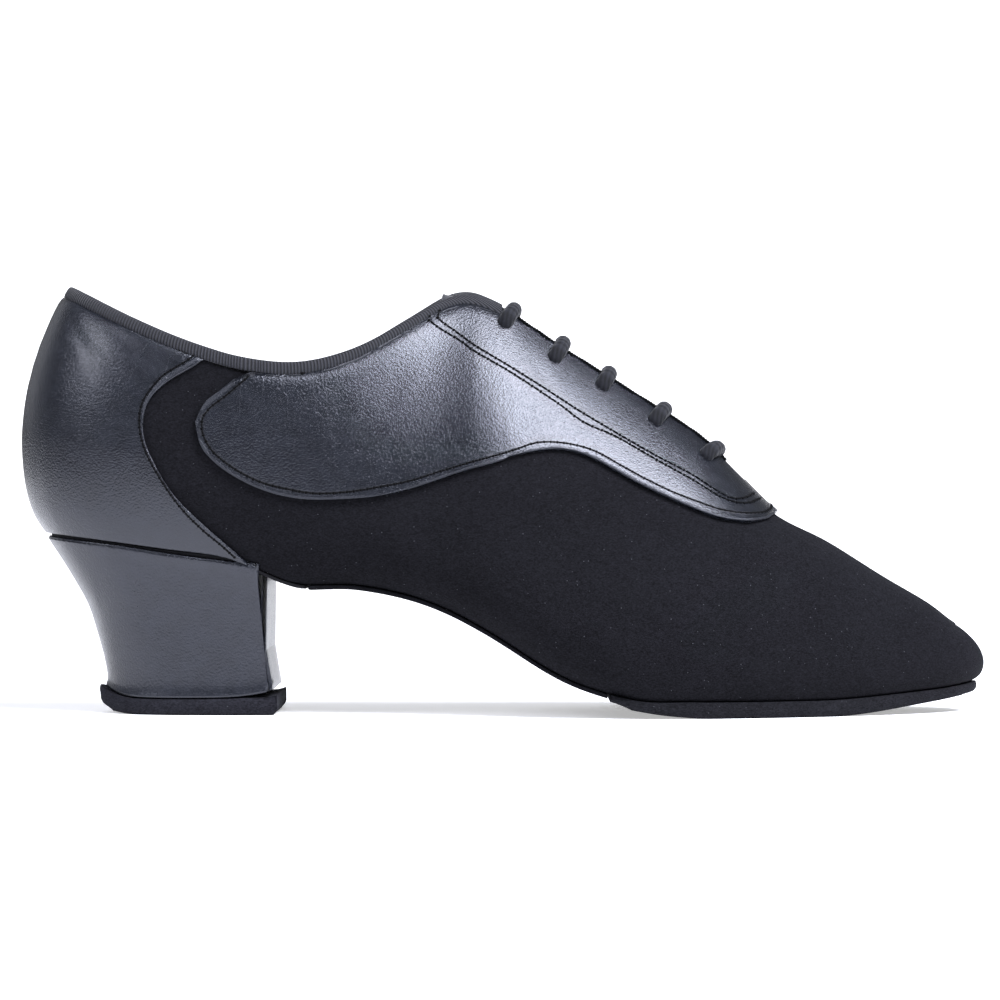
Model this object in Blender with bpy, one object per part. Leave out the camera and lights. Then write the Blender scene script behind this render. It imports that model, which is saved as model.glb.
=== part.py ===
"""Ballroom dance shoe, right foot: lace-up upper over a split sole with a covered heel.

Metres, +Z up, toe to +X, lateral side to -Y, floor at z = 0 under the middle of the outline.
"""
import math

import bmesh
import bpy
import numpy as np

# Sizes of the whole shoe
LENGTH = 0.275
BALL_WIDTH = 0.0915
SEAT_HEIGHT = 0.0512
BALL_HEIGHT = 0.0048
BACK_HEIGHT = 0.0686
CENTRE_LINE_Y = 0.0026

# Thicknesses
WALL = 0.0020
GAP = 0.0003
OVERLAY = 0.0012
BINDING = 0.0007
BINDING_WIDTH = 0.0024
INSOLE = 0.0022
TONGUE = 0.0016
TONGUE_DEPTH = 0.0036
SEAT_SOLE = 0.0010
WAIST_COVER = 0.0012
BREAST_COVER = 0.0012

# Lace
LACE_WIDTH = 0.0036
LACE_HEIGHT = 0.0023
LACE_REACH = 0.0045
LACE_LIFT = 0.00225

# Start of the upper arc as a share of a section, and the slope angle where the wall leaves the feather edge
BELLY = 0.25
FEATHER_ANGLE = math.radians(15.0)

# Plan of the last from the toe to the back of the heel, a row for each section.
# x columns are shares of LENGTH from the heel end, widths and shifts are shares of BALL_WIDTH.
PLAN_COLUMNS = ("feather_x", "belly_x", "top_x", "feather_lat", "feather_med", "belly_lat", "belly_med",
                "opening", "sole_shift", "ridge_shift")
PLAN = (
    ("toe_tip",      0.991, 1.002, 0.973, 0.000, 0.000, 0.000, 0.000, 0.000, 0.049, 0.049),
    ("toe_corner",   0.980, 0.991, 0.965, 0.091, 0.091, 0.104, 0.104, 0.027, 0.048, 0.048),
    ("toe_side",     0.952, 0.961, 0.941, 0.179, 0.174, 0.202, 0.197, 0.055, 0.044, 0.044),
    ("toe_rear",     0.902, 0.908, 0.895, 0.268, 0.251, 0.301, 0.284, 0.055, 0.033, 0.037),
    ("vamp_front",   0.842, 0.845, 0.838, 0.350, 0.322, 0.388, 0.361, 0.055, 0.020, 0.031),
    ("vamp_rear",    0.784, 0.785, 0.785, 0.410, 0.377, 0.454, 0.415, 0.055, 0.009, 0.026),
    ("throat",       0.735, 0.735, 0.745, 0.448, 0.410, 0.497, 0.451, 0.055, 0.002, 0.024),
    ("throat_rear",  0.689, 0.689, 0.704, 0.472, 0.424, 0.522, 0.470, 0.066, 0.000, 0.022),
    ("ball",         0.631, 0.631, 0.638, 0.475, 0.413, 0.530, 0.466, 0.077, 0.000, 0.022),
    ("instep",       0.562, 0.562, 0.565, 0.432, 0.361, 0.508, 0.426, 0.087, 0.000, 0.022),
    ("waist_front",  0.489, 0.489, 0.493, 0.355, 0.295, 0.459, 0.372, 0.104, 0.000, 0.022),
    ("facing_top",   0.442, 0.442, 0.451, 0.322, 0.273, 0.421, 0.344, 0.126, 0.000, 0.020),
    ("collar_front", 0.398, 0.398, 0.405, 0.301, 0.262, 0.393, 0.328, 0.202, 0.000, 0.011),
    ("arch",         0.347, 0.347, 0.351, 0.290, 0.262, 0.372, 0.322, 0.268, 0.000, 0.004),
    ("waist_rear",   0.289, 0.289, 0.293, 0.290, 0.273, 0.358, 0.328, 0.306, 0.000, 0.000),
    ("heel_front",   0.224, 0.224, 0.231, 0.295, 0.287, 0.353, 0.339, 0.311, 0.000, 0.000),
    ("quarter",      0.153, 0.149, 0.167, 0.291, 0.289, 0.343, 0.341, 0.284, 0.000, 0.000),
    ("heel_side",    0.095, 0.082, 0.111, 0.256, 0.256, 0.302, 0.302, 0.227, 0.000, 0.000),
    ("heel_corner",  0.053, 0.032, 0.068, 0.160, 0.160, 0.188, 0.188, 0.127, 0.000, 0.000),
    ("heel_back",    0.034, 0.007, 0.053, 0.000, 0.000, 0.000, 0.000, 0.000, 0.000, 0.000),
)
# Heights and roundness of the same sections.
# feather_z is a share of the rise from ball to seat, the other heights are shares of BACK_HEIGHT.
PROFILE_COLUMNS = ("feather_z", "belly_rise", "top_rise", "medial_rise", "arch_power", "side_power")
PROFILE = (
    ("toe_tip",      0.088, 0.070, 0.229, 0.000, 2.00, 2.00),
    ("toe_corner",   0.078, 0.073, 0.256, 0.000, 2.00, 2.00),
    ("toe_side",     0.056, 0.087, 0.339, 0.000, 2.00, 2.00),
    ("toe_rear",     0.030, 0.106, 0.468, 0.000, 2.00, 2.00),
    ("vamp_front",   0.004, 0.140, 0.628, 0.000, 1.95, 1.90),
    ("vamp_rear",    0.000, 0.160, 0.740, 0.000, 1.85, 1.80),
    ("throat",       0.000, 0.175, 0.888, 0.000, 1.75, 1.65),
    ("throat_rear",  0.002, 0.184, 1.056, 0.003, 1.60, 1.50),
    ("ball",         0.015, 0.195, 1.224, 0.007, 1.50, 1.42),
    ("instep",       0.142, 0.198, 1.324, 0.015, 1.50, 1.40),
    ("waist_front",  0.401, 0.190, 1.336, 0.022, 1.50, 1.40),
    ("facing_top",   0.547, 0.190, 1.267, 0.029, 1.50, 1.30),
    ("collar_front", 0.636, 0.204, 1.108, 0.034, 1.50, 1.15),
    ("arch",         0.688, 0.248, 0.952, 0.034, 1.55, 1.05),
    ("waist_rear",   0.698, 0.299, 0.884, 0.026, 1.60, 1.00),
    ("heel_front",   0.847, 0.306, 0.807, 0.017, 1.65, 1.00),
    ("quarter",      0.907, 0.343, 0.849, 0.009, 1.70, 1.00),
    ("heel_side",    0.955, 0.364, 0.916, 0.003, 1.70, 1.00),
    ("heel_corner",  0.987, 0.367, 0.983, 0.000, 1.65, 1.00),
    ("heel_back",    1.000, 0.364, 1.003, 0.000, 1.60, 1.00),
)
ODD_COLUMNS = ("feather_lat", "feather_med", "belly_lat", "belly_med", "opening")
BACK = len(PLAN) - 1

# Places along the shoe, as section numbers
THROAT = 6.0
BINDING_START = 9.9
TONGUE_START = 5.4
TONGUE_TIP = 11.20

# Front edge of the counter overlay: share of the section, section number
COUNTER_EDGE = (
    (0.018, 14.70), (0.050, 14.85), (0.090, 15.08), (0.126, 15.33), (0.168, 15.58), (0.208, 15.78),
    (0.260, 15.96), (0.390, 16.11), (0.506, 16.18), (0.610, 16.18), (0.691, 16.12), (0.791, 15.97),
    (0.902, 15.71), (1.000, 15.47),
)
# Lower edge of the eyestay overlay, from its front on the ridge to the wing tip: section number, share
EYESTAY_EDGE = (
    (5.05, 1.000), (5.25, 0.872), (5.50, 0.793), (6.00, 0.719), (6.50, 0.688), (7.00, 0.679),
    (8.00, 0.693), (8.60, 0.701), (9.00, 0.688), (9.50, 0.635), (10.00, 0.570), (11.00, 0.510),
    (12.00, 0.473), (13.00, 0.405), (14.00, 0.345), (14.60, 0.310), (15.00, 0.338), (15.26, 0.404),
    (15.41, 0.485), (15.48, 0.600),
)
# Upper edge of the wing, behind the place where it leaves the top line
WING_EDGE = (
    (14.82, 0.965), (15.15, 0.826), (15.38, 0.722), (15.48, 0.600),
)

# Forepart sole: share of LENGTH, height of its underside as a share of BALL_HEIGHT
SOLE_REAR = 0.6075
SOLE_UNDERSIDE = (
    (0.6075, 1.000), (0.620, 0.620), (0.642, 0.350), (0.667, 0.160), (0.700, 0.000), (0.840, 0.000),
    (0.872, 0.140), (0.911, 0.460), (0.955, 0.820), (0.977, 1.020), (1.000, 1.300),
)
# Rear sole: front end of its lip and of the heel under it
LIP_FRONT = 0.301
BREAST_TOP = 0.2460

# Levels of the heel: share of its height from the seat down, back and breast x, share of the seat width
HEEL_LEVELS = (
    (0.00, 0.0315, 0.2460, 1.000),
    (0.04, 0.0325, 0.2462, 1.010),
    (0.16, 0.0445, 0.2480, 0.975),
    (0.31, 0.0580, 0.2505, 0.945),
    (0.46, 0.0705, 0.2530, 0.920),
    (0.62, 0.0785, 0.2555, 0.900),
    (0.78, 0.0860, 0.2580, 0.885),
    (0.92, 0.0905, 0.2605, 0.880),
    (1.00, 0.0890, 0.2615, 0.900),
)
# Top piece of the heel: share of LENGTH, top and underside as shares of BALL_HEIGHT
TIP_PROFILE = (
    (0.080, 1.700, 1.150), (0.090, 1.450, 0.580), (0.103, 1.150, 0.130), (0.118, 0.950, 0.000),
    (0.150, 0.920, 0.000), (0.200, 0.940, 0.000), (0.232, 1.000, 0.000), (0.250, 1.150, 0.200),
    (0.262, 1.300, 0.430), (0.275, 1.480, 0.860),
)
TIP_FRONT = 0.2725
TIP_BACK = 0.0835

# Lace bars: share of the way along the facing from its top corner to the throat
LACE_STATIONS = (0.000, 0.186, 0.364, 0.584, 0.830)

SIDES = (-1.0, 1.0)
COLUMNS = PLAN_COLUMNS + PROFILE_COLUMNS
TABLE = np.array([plan[1:] + profile[1:] for plan, profile in zip(PLAN, PROFILE)])
ODD = np.array([-1.0 if name in ODD_COLUMNS else 1.0 for name in COLUMNS])


def share_x(share):
    """World x of a share of the length counted from the heel end."""
    return (share - 0.5) * LENGTH


def section(station):
    """Smooth values of every column at a section number, mirrored past both ends."""
    station = min(max(station, 0.0), float(BACK))
    low = min(int(station), BACK - 1)
    t = station - low
    rows = []
    for index in (low - 1, low, low + 1, low + 2):
        if index < 0:
            rows.append(TABLE[-index] * ODD)
        elif index > BACK:
            rows.append(TABLE[2 * BACK - index] * ODD)
        else:
            rows.append(TABLE[index])
    a, b, c, d = rows
    curve = (c - a) * t + (2 * a - 5 * b + 4 * c - d) * t ** 2 + (3 * b - a - 3 * c + d) * t ** 3
    return dict(zip(COLUMNS, b + 0.5 * curve))


def feather_height(station):
    """Height of the feather edge, where the upper meets the sole."""
    return BALL_HEIGHT + section(station)["feather_z"] * (SEAT_HEIGHT - BALL_HEIGHT)


def outer(station, v, side):
    """Point on the outside of the upper.

    v runs from 0 at the feather edge through BELLY at the widest line to 1 at the top edge,
    and on to 1.2 at the ridge of the closed vamp.
    """
    s = section(station)
    lateral = side < 0.0
    feather = max(s["feather_lat"] if lateral else s["feather_med"], 0.0) * BALL_WIDTH
    belly = max(s["belly_lat"] if lateral else s["belly_med"], 0.0) * BALL_WIDTH
    opening = max(s["opening"], 0.0) * BALL_WIDTH
    z_feather = BALL_HEIGHT + s["feather_z"] * (SEAT_HEIGHT - BALL_HEIGHT)
    z_belly = z_feather + s["belly_rise"] * BACK_HEIGHT
    z_top = z_feather + s["top_rise"] * BACK_HEIGHT
    left = min((1.2 - v) / 0.2, 1.0)
    if not lateral:
        z_top += s["medial_rise"] * BACK_HEIGHT * left
    if v <= BELLY:
        angle = FEATHER_ANGLE + (math.pi / 2 - FEATHER_ANGLE) * v / BELLY
        out = (math.sin(angle) - math.sin(FEATHER_ANGLE)) / (1.0 - math.sin(FEATHER_ANGLE))
        up = 1.0 - math.cos(angle) / math.cos(FEATHER_ANGLE)
        half = feather + (belly - feather) * out
        x = share_x(s["feather_x"] + (s["belly_x"] - s["feather_x"]) * out)
        y = CENTRE_LINE_Y + s["sole_shift"] * BALL_WIDTH + side * half
        return np.array((x, y, z_feather + (z_belly - z_feather) * up))
    ratio = min(opening / max(belly, 1e-9), 0.999)
    top_angle = math.acos(ratio ** (s["side_power"] / 2))
    if v <= 1.0:
        angle = top_angle * (v - BELLY) / (1.0 - BELLY)
        half = belly * max(math.cos(angle), 0.0) ** (2 / s["side_power"])
        rise = (math.sin(angle) / math.sin(top_angle)) ** (2 / s["arch_power"])
        z = z_belly + (z_top - z_belly) * rise
    else:
        half = opening * left
        rise = 1.0
        z = z_top + 0.5 * opening * crown_slope(s) * (1.0 - left ** 2)
    x = share_x(s["belly_x"] + (s["top_x"] - s["belly_x"]) * rise ** 2)
    shift = s["sole_shift"] + (s["ridge_shift"] - s["sole_shift"]) * rise
    return np.array((x, CENTRE_LINE_Y + shift * BALL_WIDTH + side * half, z))


def crown_slope(s):
    """Mean slope across the shoe at the edge of the opening, which the crown of the vamp carries on."""
    belly = max(0.5 * (s["belly_lat"] + s["belly_med"]) * BALL_WIDTH, 1e-6)
    ratio = min(max(s["opening"] * BALL_WIDTH, 1e-6) / belly, 0.9)
    height = (s["top_rise"] - s["belly_rise"]) * BACK_HEIGHT
    r = s["side_power"]
    p = s["arch_power"]
    return height * r / (p * belly) * ratio ** (r - 1.0) * (1.0 - ratio ** r) ** (1.0 / p - 1.0)


def normal(station, v, side):
    """Outward unit normal of the outside of the upper."""
    u = min(max(station, 0.02), BACK - 0.02)
    step = 0.01
    high = min(v + 0.004, 1.2 if v > 1.0 else 1.0)
    low = max(v - 0.004, 1.0 if v > 1.0 else 0.0)
    if v >= 1.2:
        low = 1.19
    along = outer(u + step, min(v, 1.2), side) - outer(u - step, min(v, 1.2), side)
    across = outer(u, high, side) - outer(u, low, side)
    n = np.cross(along, across) * side
    if station < 0.02 or station > BACK - 0.02:
        n[1] = 0.0
    if v >= 1.2:
        n[1] = 0.0
    return n / np.linalg.norm(n)


def surface(station, v, side, offset):
    """Point at a distance outside (or inside) the outside of the upper; both sides share the ridge."""
    if v >= 1.2:
        side = -1.0
    return outer(station, v, side) + normal(station, v, side) * offset


def below_top(station, side, distance):
    """Value of v at a distance down the wall from the top edge."""
    top = outer(station, 1.0, side)
    low, high = BELLY, 1.0
    for _ in range(18):
        mid = 0.5 * (low + high)
        if np.linalg.norm(outer(station, mid, side) - top) > distance:
            low = mid
        else:
            high = mid
    return 0.5 * (low + high)


def table_value(table, key, column=1):
    """Straight-line reading of a table sorted by its first column."""
    return float(np.interp(key, [row[0] for row in table], [row[column] for row in table]))


def smooth_value(table, key):
    """Smooth reading of a two-column table sorted by its first column."""
    keys = [row[0] for row in table]
    values = [row[1] for row in table]
    key = min(max(key, keys[0]), keys[-1])
    i = min(max(int(np.searchsorted(keys, key)) - 1, 0), len(keys) - 2)

    def slope(k):
        low = max(k - 1, 0)
        high = min(k + 1, len(keys) - 1)
        return (values[high] - values[low]) / (keys[high] - keys[low])

    width = keys[i + 1] - keys[i]
    t = (key - keys[i]) / width
    return ((2 * t ** 3 - 3 * t ** 2 + 1) * values[i] + (t ** 3 - 2 * t ** 2 + t) * width * slope(i)
            + (3 * t ** 2 - 2 * t ** 3) * values[i + 1] + (t ** 3 - t ** 2) * width * slope(i + 1))


def station_at(column, share):
    """Section number at which a falling x column reaches a share of the length."""
    low, high = 0.0, float(BACK)
    for _ in range(40):
        mid = 0.5 * (low + high)
        if section(mid)[column] > share:
            low = mid
        else:
            high = mid
    return 0.5 * (low + high)


def plan_edge(station, side, share, out):
    """Plan outline between feather edge (share 0) and belly (share 1), moved outward by a distance."""
    def spot(u):
        s = section(u)
        names = ("feather_lat", "belly_lat") if side < 0.0 else ("feather_med", "belly_med")
        half = max(s[names[0]], 0.0) + share * (max(s[names[1]], 0.0) - max(s[names[0]], 0.0))
        x = share_x(s["feather_x"] + share * (s["belly_x"] - s["feather_x"]))
        return np.array((x, side * half * BALL_WIDTH, s["sole_shift"] * BALL_WIDTH))
    here = spot(station)
    u = min(max(station, 0.02), BACK - 0.02)
    along = spot(u - 0.01) - spot(u + 0.01)
    n = np.array((-along[1], along[0])) * side
    if station < 0.02 or station > BACK - 0.02:
        n[1] = 0.0
    n /= np.linalg.norm(n)
    y = here[1] + n[1] * out
    if y * side < 0.0:
        y = 0.0
    return np.array((here[0] + n[0] * out, CENTRE_LINE_Y + here[2] + y))


def finish_material(name, colour, roughness):
    material = bpy.data.materials.new(name)
    material.use_nodes = True
    shader = material.node_tree.nodes["Principled BSDF"]
    shader.inputs["Base Color"].default_value = (*colour, 1.0)
    shader.inputs["Roughness"].default_value = roughness
    shader.inputs["Metallic"].default_value = 0.0
    return material


def finish_shape(name, mesh, material, crease):
    """Object with outward faces, smooth but for edges sharper than the crease angle."""
    bmesh.ops.triangulate(mesh, faces=mesh.faces)
    bmesh.ops.recalc_face_normals(mesh, faces=mesh.faces)
    if mesh.calc_volume(signed=True) < 0.0:
        bmesh.ops.reverse_faces(mesh, faces=mesh.faces)
    for face in mesh.faces:
        face.smooth = True
    for edge in mesh.edges:
        edge.smooth = edge.calc_face_angle(0.0) < math.radians(crease)
    data = bpy.data.meshes.new(name)
    mesh.to_mesh(data)
    mesh.free()
    data.materials.append(material)
    shape = bpy.data.objects.new(name, data)
    bpy.context.collection.objects.link(shape)
    return shape


def build_solid(name, layers, cells, material, crease=40.0):
    """Closes matching layers of points into one solid: the first and last layers are its two faces."""
    first = {}
    same = []
    for i, point in enumerate(layers[0]):
        key = tuple(round(float(c), 7) + 0.0 for c in point)
        same.append(first.setdefault(key, i))
    faces = []
    for cell in cells:
        corners = [same[i] for i in cell]
        corners = [c for k, c in enumerate(corners) if c != corners[k - 1]]
        if len(set(corners)) >= 3:
            faces.append(corners)
    edges = {}
    for corners in faces:
        for a, b in zip(corners, corners[1:] + corners[:1]):
            edges[(a, b)] = edges.get((a, b), 0) + 1
    border = [(a, b) for (a, b) in edges if (b, a) not in edges]
    mesh = bmesh.new()
    points = {}

    def vert(layer, index):
        if (layer, index) not in points:
            points[(layer, index)] = mesh.verts.new([float(c) for c in layers[layer][index]])
        return points[(layer, index)]

    last = len(layers) - 1
    for corners in faces:
        mesh.faces.new([vert(0, c) for c in corners])
        mesh.faces.new([vert(last, c) for c in reversed(corners)])
    for a, b in border:
        for k in range(last):
            mesh.faces.new([vert(k, b), vert(k, a), vert(k + 1, a), vert(k + 1, b)])
    bmesh.ops.remove_doubles(mesh, verts=mesh.verts, dist=2e-6)
    return finish_shape(name, mesh, material, crease)


def grid_cells(rows, columns, start=0):
    """Cells of a grid stored row by row."""
    cells = []
    for i in range(rows - 1):
        for j in range(columns - 1):
            a = start + i * columns + j
            cells.append((a, a + columns, a + columns + 1, a + 1))
    return cells


def skin(stations, low, high, joined, offsets, count, crown_count=2):
    """Layers and cells of a skin on both sides of the upper.

    low and high give v at a station and side; where joined is true the skin carries on over the ridge.
    """
    layers = [[] for _ in offsets]
    cells = []
    for side in SIDES:
        start = len(layers[0])
        for station in stations:
            a = low(station, side)
            b = high(station, side)
            for j in range(count + 1):
                v = b if j == count else a + (b - a) * j / count
                for layer, offset in zip(layers, offsets):
                    layer.append(surface(station, v, side, offset))
        side_cells = grid_cells(len(stations), count + 1, start)
        crown = [s for s in stations if joined(s)]
        start = len(layers[0])
        for station in crown:
            for j in range(crown_count + 1):
                v = 1.0 + 0.2 * j / crown_count
                for layer, offset in zip(layers, offsets):
                    layer.append(surface(station, v, side, offset))
        side_cells += grid_cells(len(crown), crown_count + 1, start)
        if side > 0.0:
            side_cells = [tuple(reversed(cell)) for cell in side_cells]
        cells += side_cells
    return layers, cells


def near_steps(first, last, per_section=3):
    """Section numbers from first to last on the common grid of the upper, with both ends."""
    inner = [i / per_section for i in range(BACK * per_section + 1)]
    return [first] + [s for s in inner if first + 0.08 < s < last - 0.08] + [last]


def build_upper(material):
    layers, cells = skin(near_steps(0.0, float(BACK)), lambda u, side: 0.0, lambda u, side: 1.0,
                         lambda u: u <= THROAT + 1e-6, (0.0, -WALL), 9)
    return build_solid("upper", layers, cells, material)


def build_counter(material):
    """Wraps round the back from front edge to front edge, just under the binding."""
    bottom = COUNTER_EDGE[0][0]
    rows = 11
    layers = [[], []]
    columns = 25
    for row in range(rows + 1):
        share = row / rows
        front = smooth_value(COUNTER_EDGE, bottom + (1.0 - bottom) * share)
        for column in range(columns):
            turn = 2.0 * column / (columns - 1) - 1.0
            side = -1.0 if turn <= 0.0 else 1.0
            station = BACK - (BACK - front) * abs(turn)
            top = below_top(station, side, BINDING_WIDTH + 2.0 * GAP)
            v = bottom + (top - bottom) * share
            layers[0].append(surface(station, v, side, GAP + OVERLAY))
            layers[1].append(surface(station, v, side, GAP))
    return build_solid("counter_overlay", layers, grid_cells(rows + 1, columns), material)


def build_eyestay(material):
    """U round the facing gap, with a wing swept back on each side."""
    first = EYESTAY_EDGE[0][0]
    last = EYESTAY_EDGE[-1][0]
    front = THROAT - 0.1

    def low(u, side):
        return min(smooth_value(EYESTAY_EDGE, u), 1.0)

    def high(u, side):
        if u <= front + 1e-6:
            return 1.0
        edge = OVERLAY if u < BINDING_START - 0.07 else BINDING_WIDTH + 2.0 * GAP
        v = below_top(u, side, edge)
        if u > WING_EDGE[0][0]:
            v = min(v, smooth_value(WING_EDGE, u))
        return max(v, low(u, side))

    stations = [s for s in near_steps(first, last) if abs(s - front) > 0.12]
    stations += [first + 0.06, first + 0.13, first + 0.20, front]
    stations += [BINDING_START - 0.09, BINDING_START - 0.05]
    stations += [last - 0.26, last - 0.15, last - 0.07, last - 0.02]
    stations = sorted(set(round(s, 4) for s in stations))
    layers, cells = skin(stations, low, high, lambda u: u <= front + 1e-6, (GAP + OVERLAY, GAP), 6)
    return build_solid("eyestay_overlay", layers, cells, material)


def build_binding(material):
    """Tape folded over the top edge from one top corner of the facing round the back to the other."""
    stations = near_steps(BINDING_START, float(BACK))
    path = [(s, -1.0) for s in stations] + [(s, 1.0) for s in reversed(stations[:-1])]
    reach = GAP + BINDING
    rings = []
    for station, side in path:
        edge = outer(station, 1.0, side)
        n = normal(station, 1.0, side)
        below = surface(station, below_top(station, side, BINDING_WIDTH), side, 0.0)
        n_below = normal(station, below_top(station, side, BINDING_WIDTH), side)
        up = edge - below
        up /= np.linalg.norm(up)
        rings.append((
            below + n_below * GAP, below + n_below * reach, edge + n * reach,
            edge + up * reach + n * GAP * 0.5, edge + up * reach - n * (WALL + GAP * 0.5),
            edge - n * (WALL + reach), below - n_below * (WALL + reach),
            below - n_below * (WALL + GAP), edge + up * GAP - n * (WALL + GAP), edge + up * GAP + n * GAP,
        ))
    return build_tube("topline_binding", rings, material)


def build_tube(name, rings, material, crease=40.0):
    """Solid through equal rings of points with flat ends."""
    mesh = bmesh.new()
    verts = [[mesh.verts.new([float(c) for c in p]) for p in ring] for ring in rings]
    count = len(rings[0])
    for a, b in zip(verts, verts[1:]):
        for k in range(count):
            mesh.faces.new((a[k], b[k], b[(k + 1) % count], a[(k + 1) % count]))
    mesh.faces.new(list(reversed(verts[0])))
    mesh.faces.new(verts[-1])
    return finish_shape(name, mesh, material, crease)


def build_tongue(material):
    """Sheet under the facing gap, its tip just over the top corner of the facing."""
    stations = near_steps(TONGUE_START, TONGUE_TIP, 2)
    layers = [[], []]
    side_count = 3
    middle = 4
    for station in stations:
        tip = min(max((station - (TONGUE_TIP - 1.6)) / 1.6, 0.0), 1.0)
        reach = 0.0095 - 0.0065 * tip ** 3
        for layer, offset in zip(layers, (-TONGUE_DEPTH, -TONGUE_DEPTH - TONGUE)):
            edges = []
            for side in SIDES:
                low = below_top(station, side, reach)
                wall = [surface(station, low + (1.0 - low) * j / side_count, side, offset)
                        for j in range(side_count + 1)]
                edges.append(wall)
            left, right = edges[0][-1], edges[1][-1]
            rise = np.linalg.norm(right - left) * (0.06 + 0.20 * tip ** 2)
            row = list(edges[0])
            for k in range(1, middle):
                t = k / middle
                p = left + (right - left) * t
                p = p + np.array((0.0, 0.0, 4.0 * t * (1.0 - t) * rise))
                row.append(p)
            row += list(reversed(edges[1]))
            layer.extend(row)
    columns = 2 * (side_count + 1) + middle - 1
    return build_solid("tongue", layers, grid_cells(len(stations), columns), material)


def flat_piece(name, stations, edge, heights, material, across=4, crease=40.0):
    """Sheet across the shoe between its plan edges; each layer has its own edge and height."""
    layers = []
    for level, height in enumerate(heights):
        layer = []
        for station in stations:
            left = edge(station, -1.0, level)
            right = edge(station, 1.0, level)
            for k in range(across + 1):
                p = left + (right - left) * k / across
                layer.append(np.array((p[0], p[1], height(station, p[0]))))
        layers.append(layer)
    return build_solid(name, layers, grid_cells(len(stations), across + 1), material, crease)


def build_insole(material):
    stations = near_steps(0.0, float(BACK), 2)
    return flat_piece("insole", stations, lambda u, side, level: plan_edge(u, side, 0.0, -0.95 * WALL),
                      (lambda u, x: feather_height(u) + INSOLE, lambda u, x: feather_height(u)),
                      material, 2)


def build_forepart_sole(material):
    last = station_at("feather_x", SOLE_REAR)

    def edge(station, side, level):
        return plan_edge(station, side, 0.25, (0.0, 0.0002, -0.0006)[level])

    def top(station, x):
        return feather_height(station) - GAP

    def underside(station, x):
        low = BALL_HEIGHT * table_value(SOLE_UNDERSIDE, x / LENGTH + 0.5)
        return min(low, top(station, x) - 0.0016)

    def middle(station, x):
        return top(station, x) * 0.35 + underside(station, x) * 0.65

    stations = near_steps(0.0, last)
    return flat_piece("forepart_sole", stations, edge, (top, middle, underside), material)


def build_waist_cover(material):
    first = station_at("feather_x", SOLE_REAR - 0.0022)
    last = station_at("feather_x", LIP_FRONT + 0.0022)
    return flat_piece("waist_cover", near_steps(first, last),
                      lambda u, side, level: plan_edge(u, side, 0.12, 0.0),
                      (lambda u, x: feather_height(u) - GAP,
                       lambda u, x: feather_height(u) - GAP - WAIST_COVER), material, 2)


def seat_underside(station):
    return feather_height(station) - GAP - SEAT_SOLE


def build_heel_seat_sole(material):
    first = station_at("feather_x", LIP_FRONT)
    return flat_piece("heel_seat_sole", near_steps(first, float(BACK)),
                      lambda u, side, level: plan_edge(u, side, 0.0, 0.0004),
                      (lambda u, x: feather_height(u) - GAP, lambda u, x: seat_underside(u)),
                      material, 2)


def heel_outline(station, side, level):
    """Plan point of the heel at a level, with the seat outline drawn in from the row's back and breast."""
    share, back, breast, width = HEEL_LEVELS[level]
    seat = plan_edge(station, side, 0.0, 0.0008)
    seat_back = plan_edge(float(BACK), side, 0.0, 0.0008)[0]
    seat_breast = share_x(BREAST_TOP)
    t = (seat[0] - seat_back) / (seat_breast - seat_back)
    x = share_x(back) + (share_x(breast) - share_x(back)) * t
    return np.array((x, CENTRE_LINE_Y + (seat[1] - CENTRE_LINE_Y) * width))


def heel_stations():
    first = station_at("feather_x", BREAST_TOP)
    return near_steps(first, float(BACK), 3)


def build_heel_block(material):
    def height(level):
        share = HEEL_LEVELS[level][0]
        def at(station, x):
            top = seat_underside(station) - GAP
            bottom = BALL_HEIGHT * table_value(TIP_PROFILE, x / LENGTH + 0.5, 1) + GAP
            return top + (bottom - top) * share
        return at

    return flat_piece("heel_block", heel_stations(), heel_outline,
                      [height(level) for level in range(len(HEEL_LEVELS))], material, 2, 50.0)


def build_breast_cover(material):
    """Strip of leather down the flat front of the heel."""
    station = station_at("feather_x", BREAST_TOP)
    top_front = station_at("feather_x", BREAST_TOP + 0.008)
    rings = [[], []]
    across = 4
    levels = len(HEEL_LEVELS)
    for ring, out in zip(rings, (GAP + BREAST_COVER, GAP)):
        for level in range(levels):
            share = HEEL_LEVELS[level][0]
            left = heel_outline(station, -1.0, level)
            right = heel_outline(station, 1.0, level)
            x = left[0] + out
            top = seat_underside(top_front) - 2.0 * GAP
            bottom = BALL_HEIGHT * table_value(TIP_PROFILE, (x + 0.001) / LENGTH + 0.5, 1) + GAP
            for k in range(across + 1):
                y = left[1] + (right[1] - left[1]) * (0.02 + 0.96 * k / across)
                ring.append(np.array((x, y, top + (bottom - top) * share)))
    return build_solid("heel_breast_cover", rings, grid_cells(levels, across + 1), material)


def build_heel_tip(material):
    level = len(HEEL_LEVELS) - 1

    def edge(station, side, layer):
        p = heel_outline(station, side, level)
        back = share_x(HEEL_LEVELS[level][1])
        breast = share_x(HEEL_LEVELS[level][2])
        t = (p[0] - back) / (breast - back)
        x = share_x(TIP_BACK) + (share_x(TIP_FRONT) - share_x(TIP_BACK)) * t
        grow = (1.01, 1.03, 0.97)[layer]
        shift = (0.0, -0.0003, 0.0006)[layer] * (1.0 - 2.0 * t)
        return np.array((x + shift, CENTRE_LINE_Y + (p[1] - CENTRE_LINE_Y) * grow))

    def top(station, x):
        return BALL_HEIGHT * table_value(TIP_PROFILE, x / LENGTH + 0.5, 1)

    def underside(station, x):
        return BALL_HEIGHT * table_value(TIP_PROFILE, x / LENGTH + 0.5, 2)

    def middle(station, x):
        return 0.5 * (top(station, x) + underside(station, x))

    return flat_piece("heel_tip", heel_stations(), edge, (top, middle, underside), material)


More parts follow.
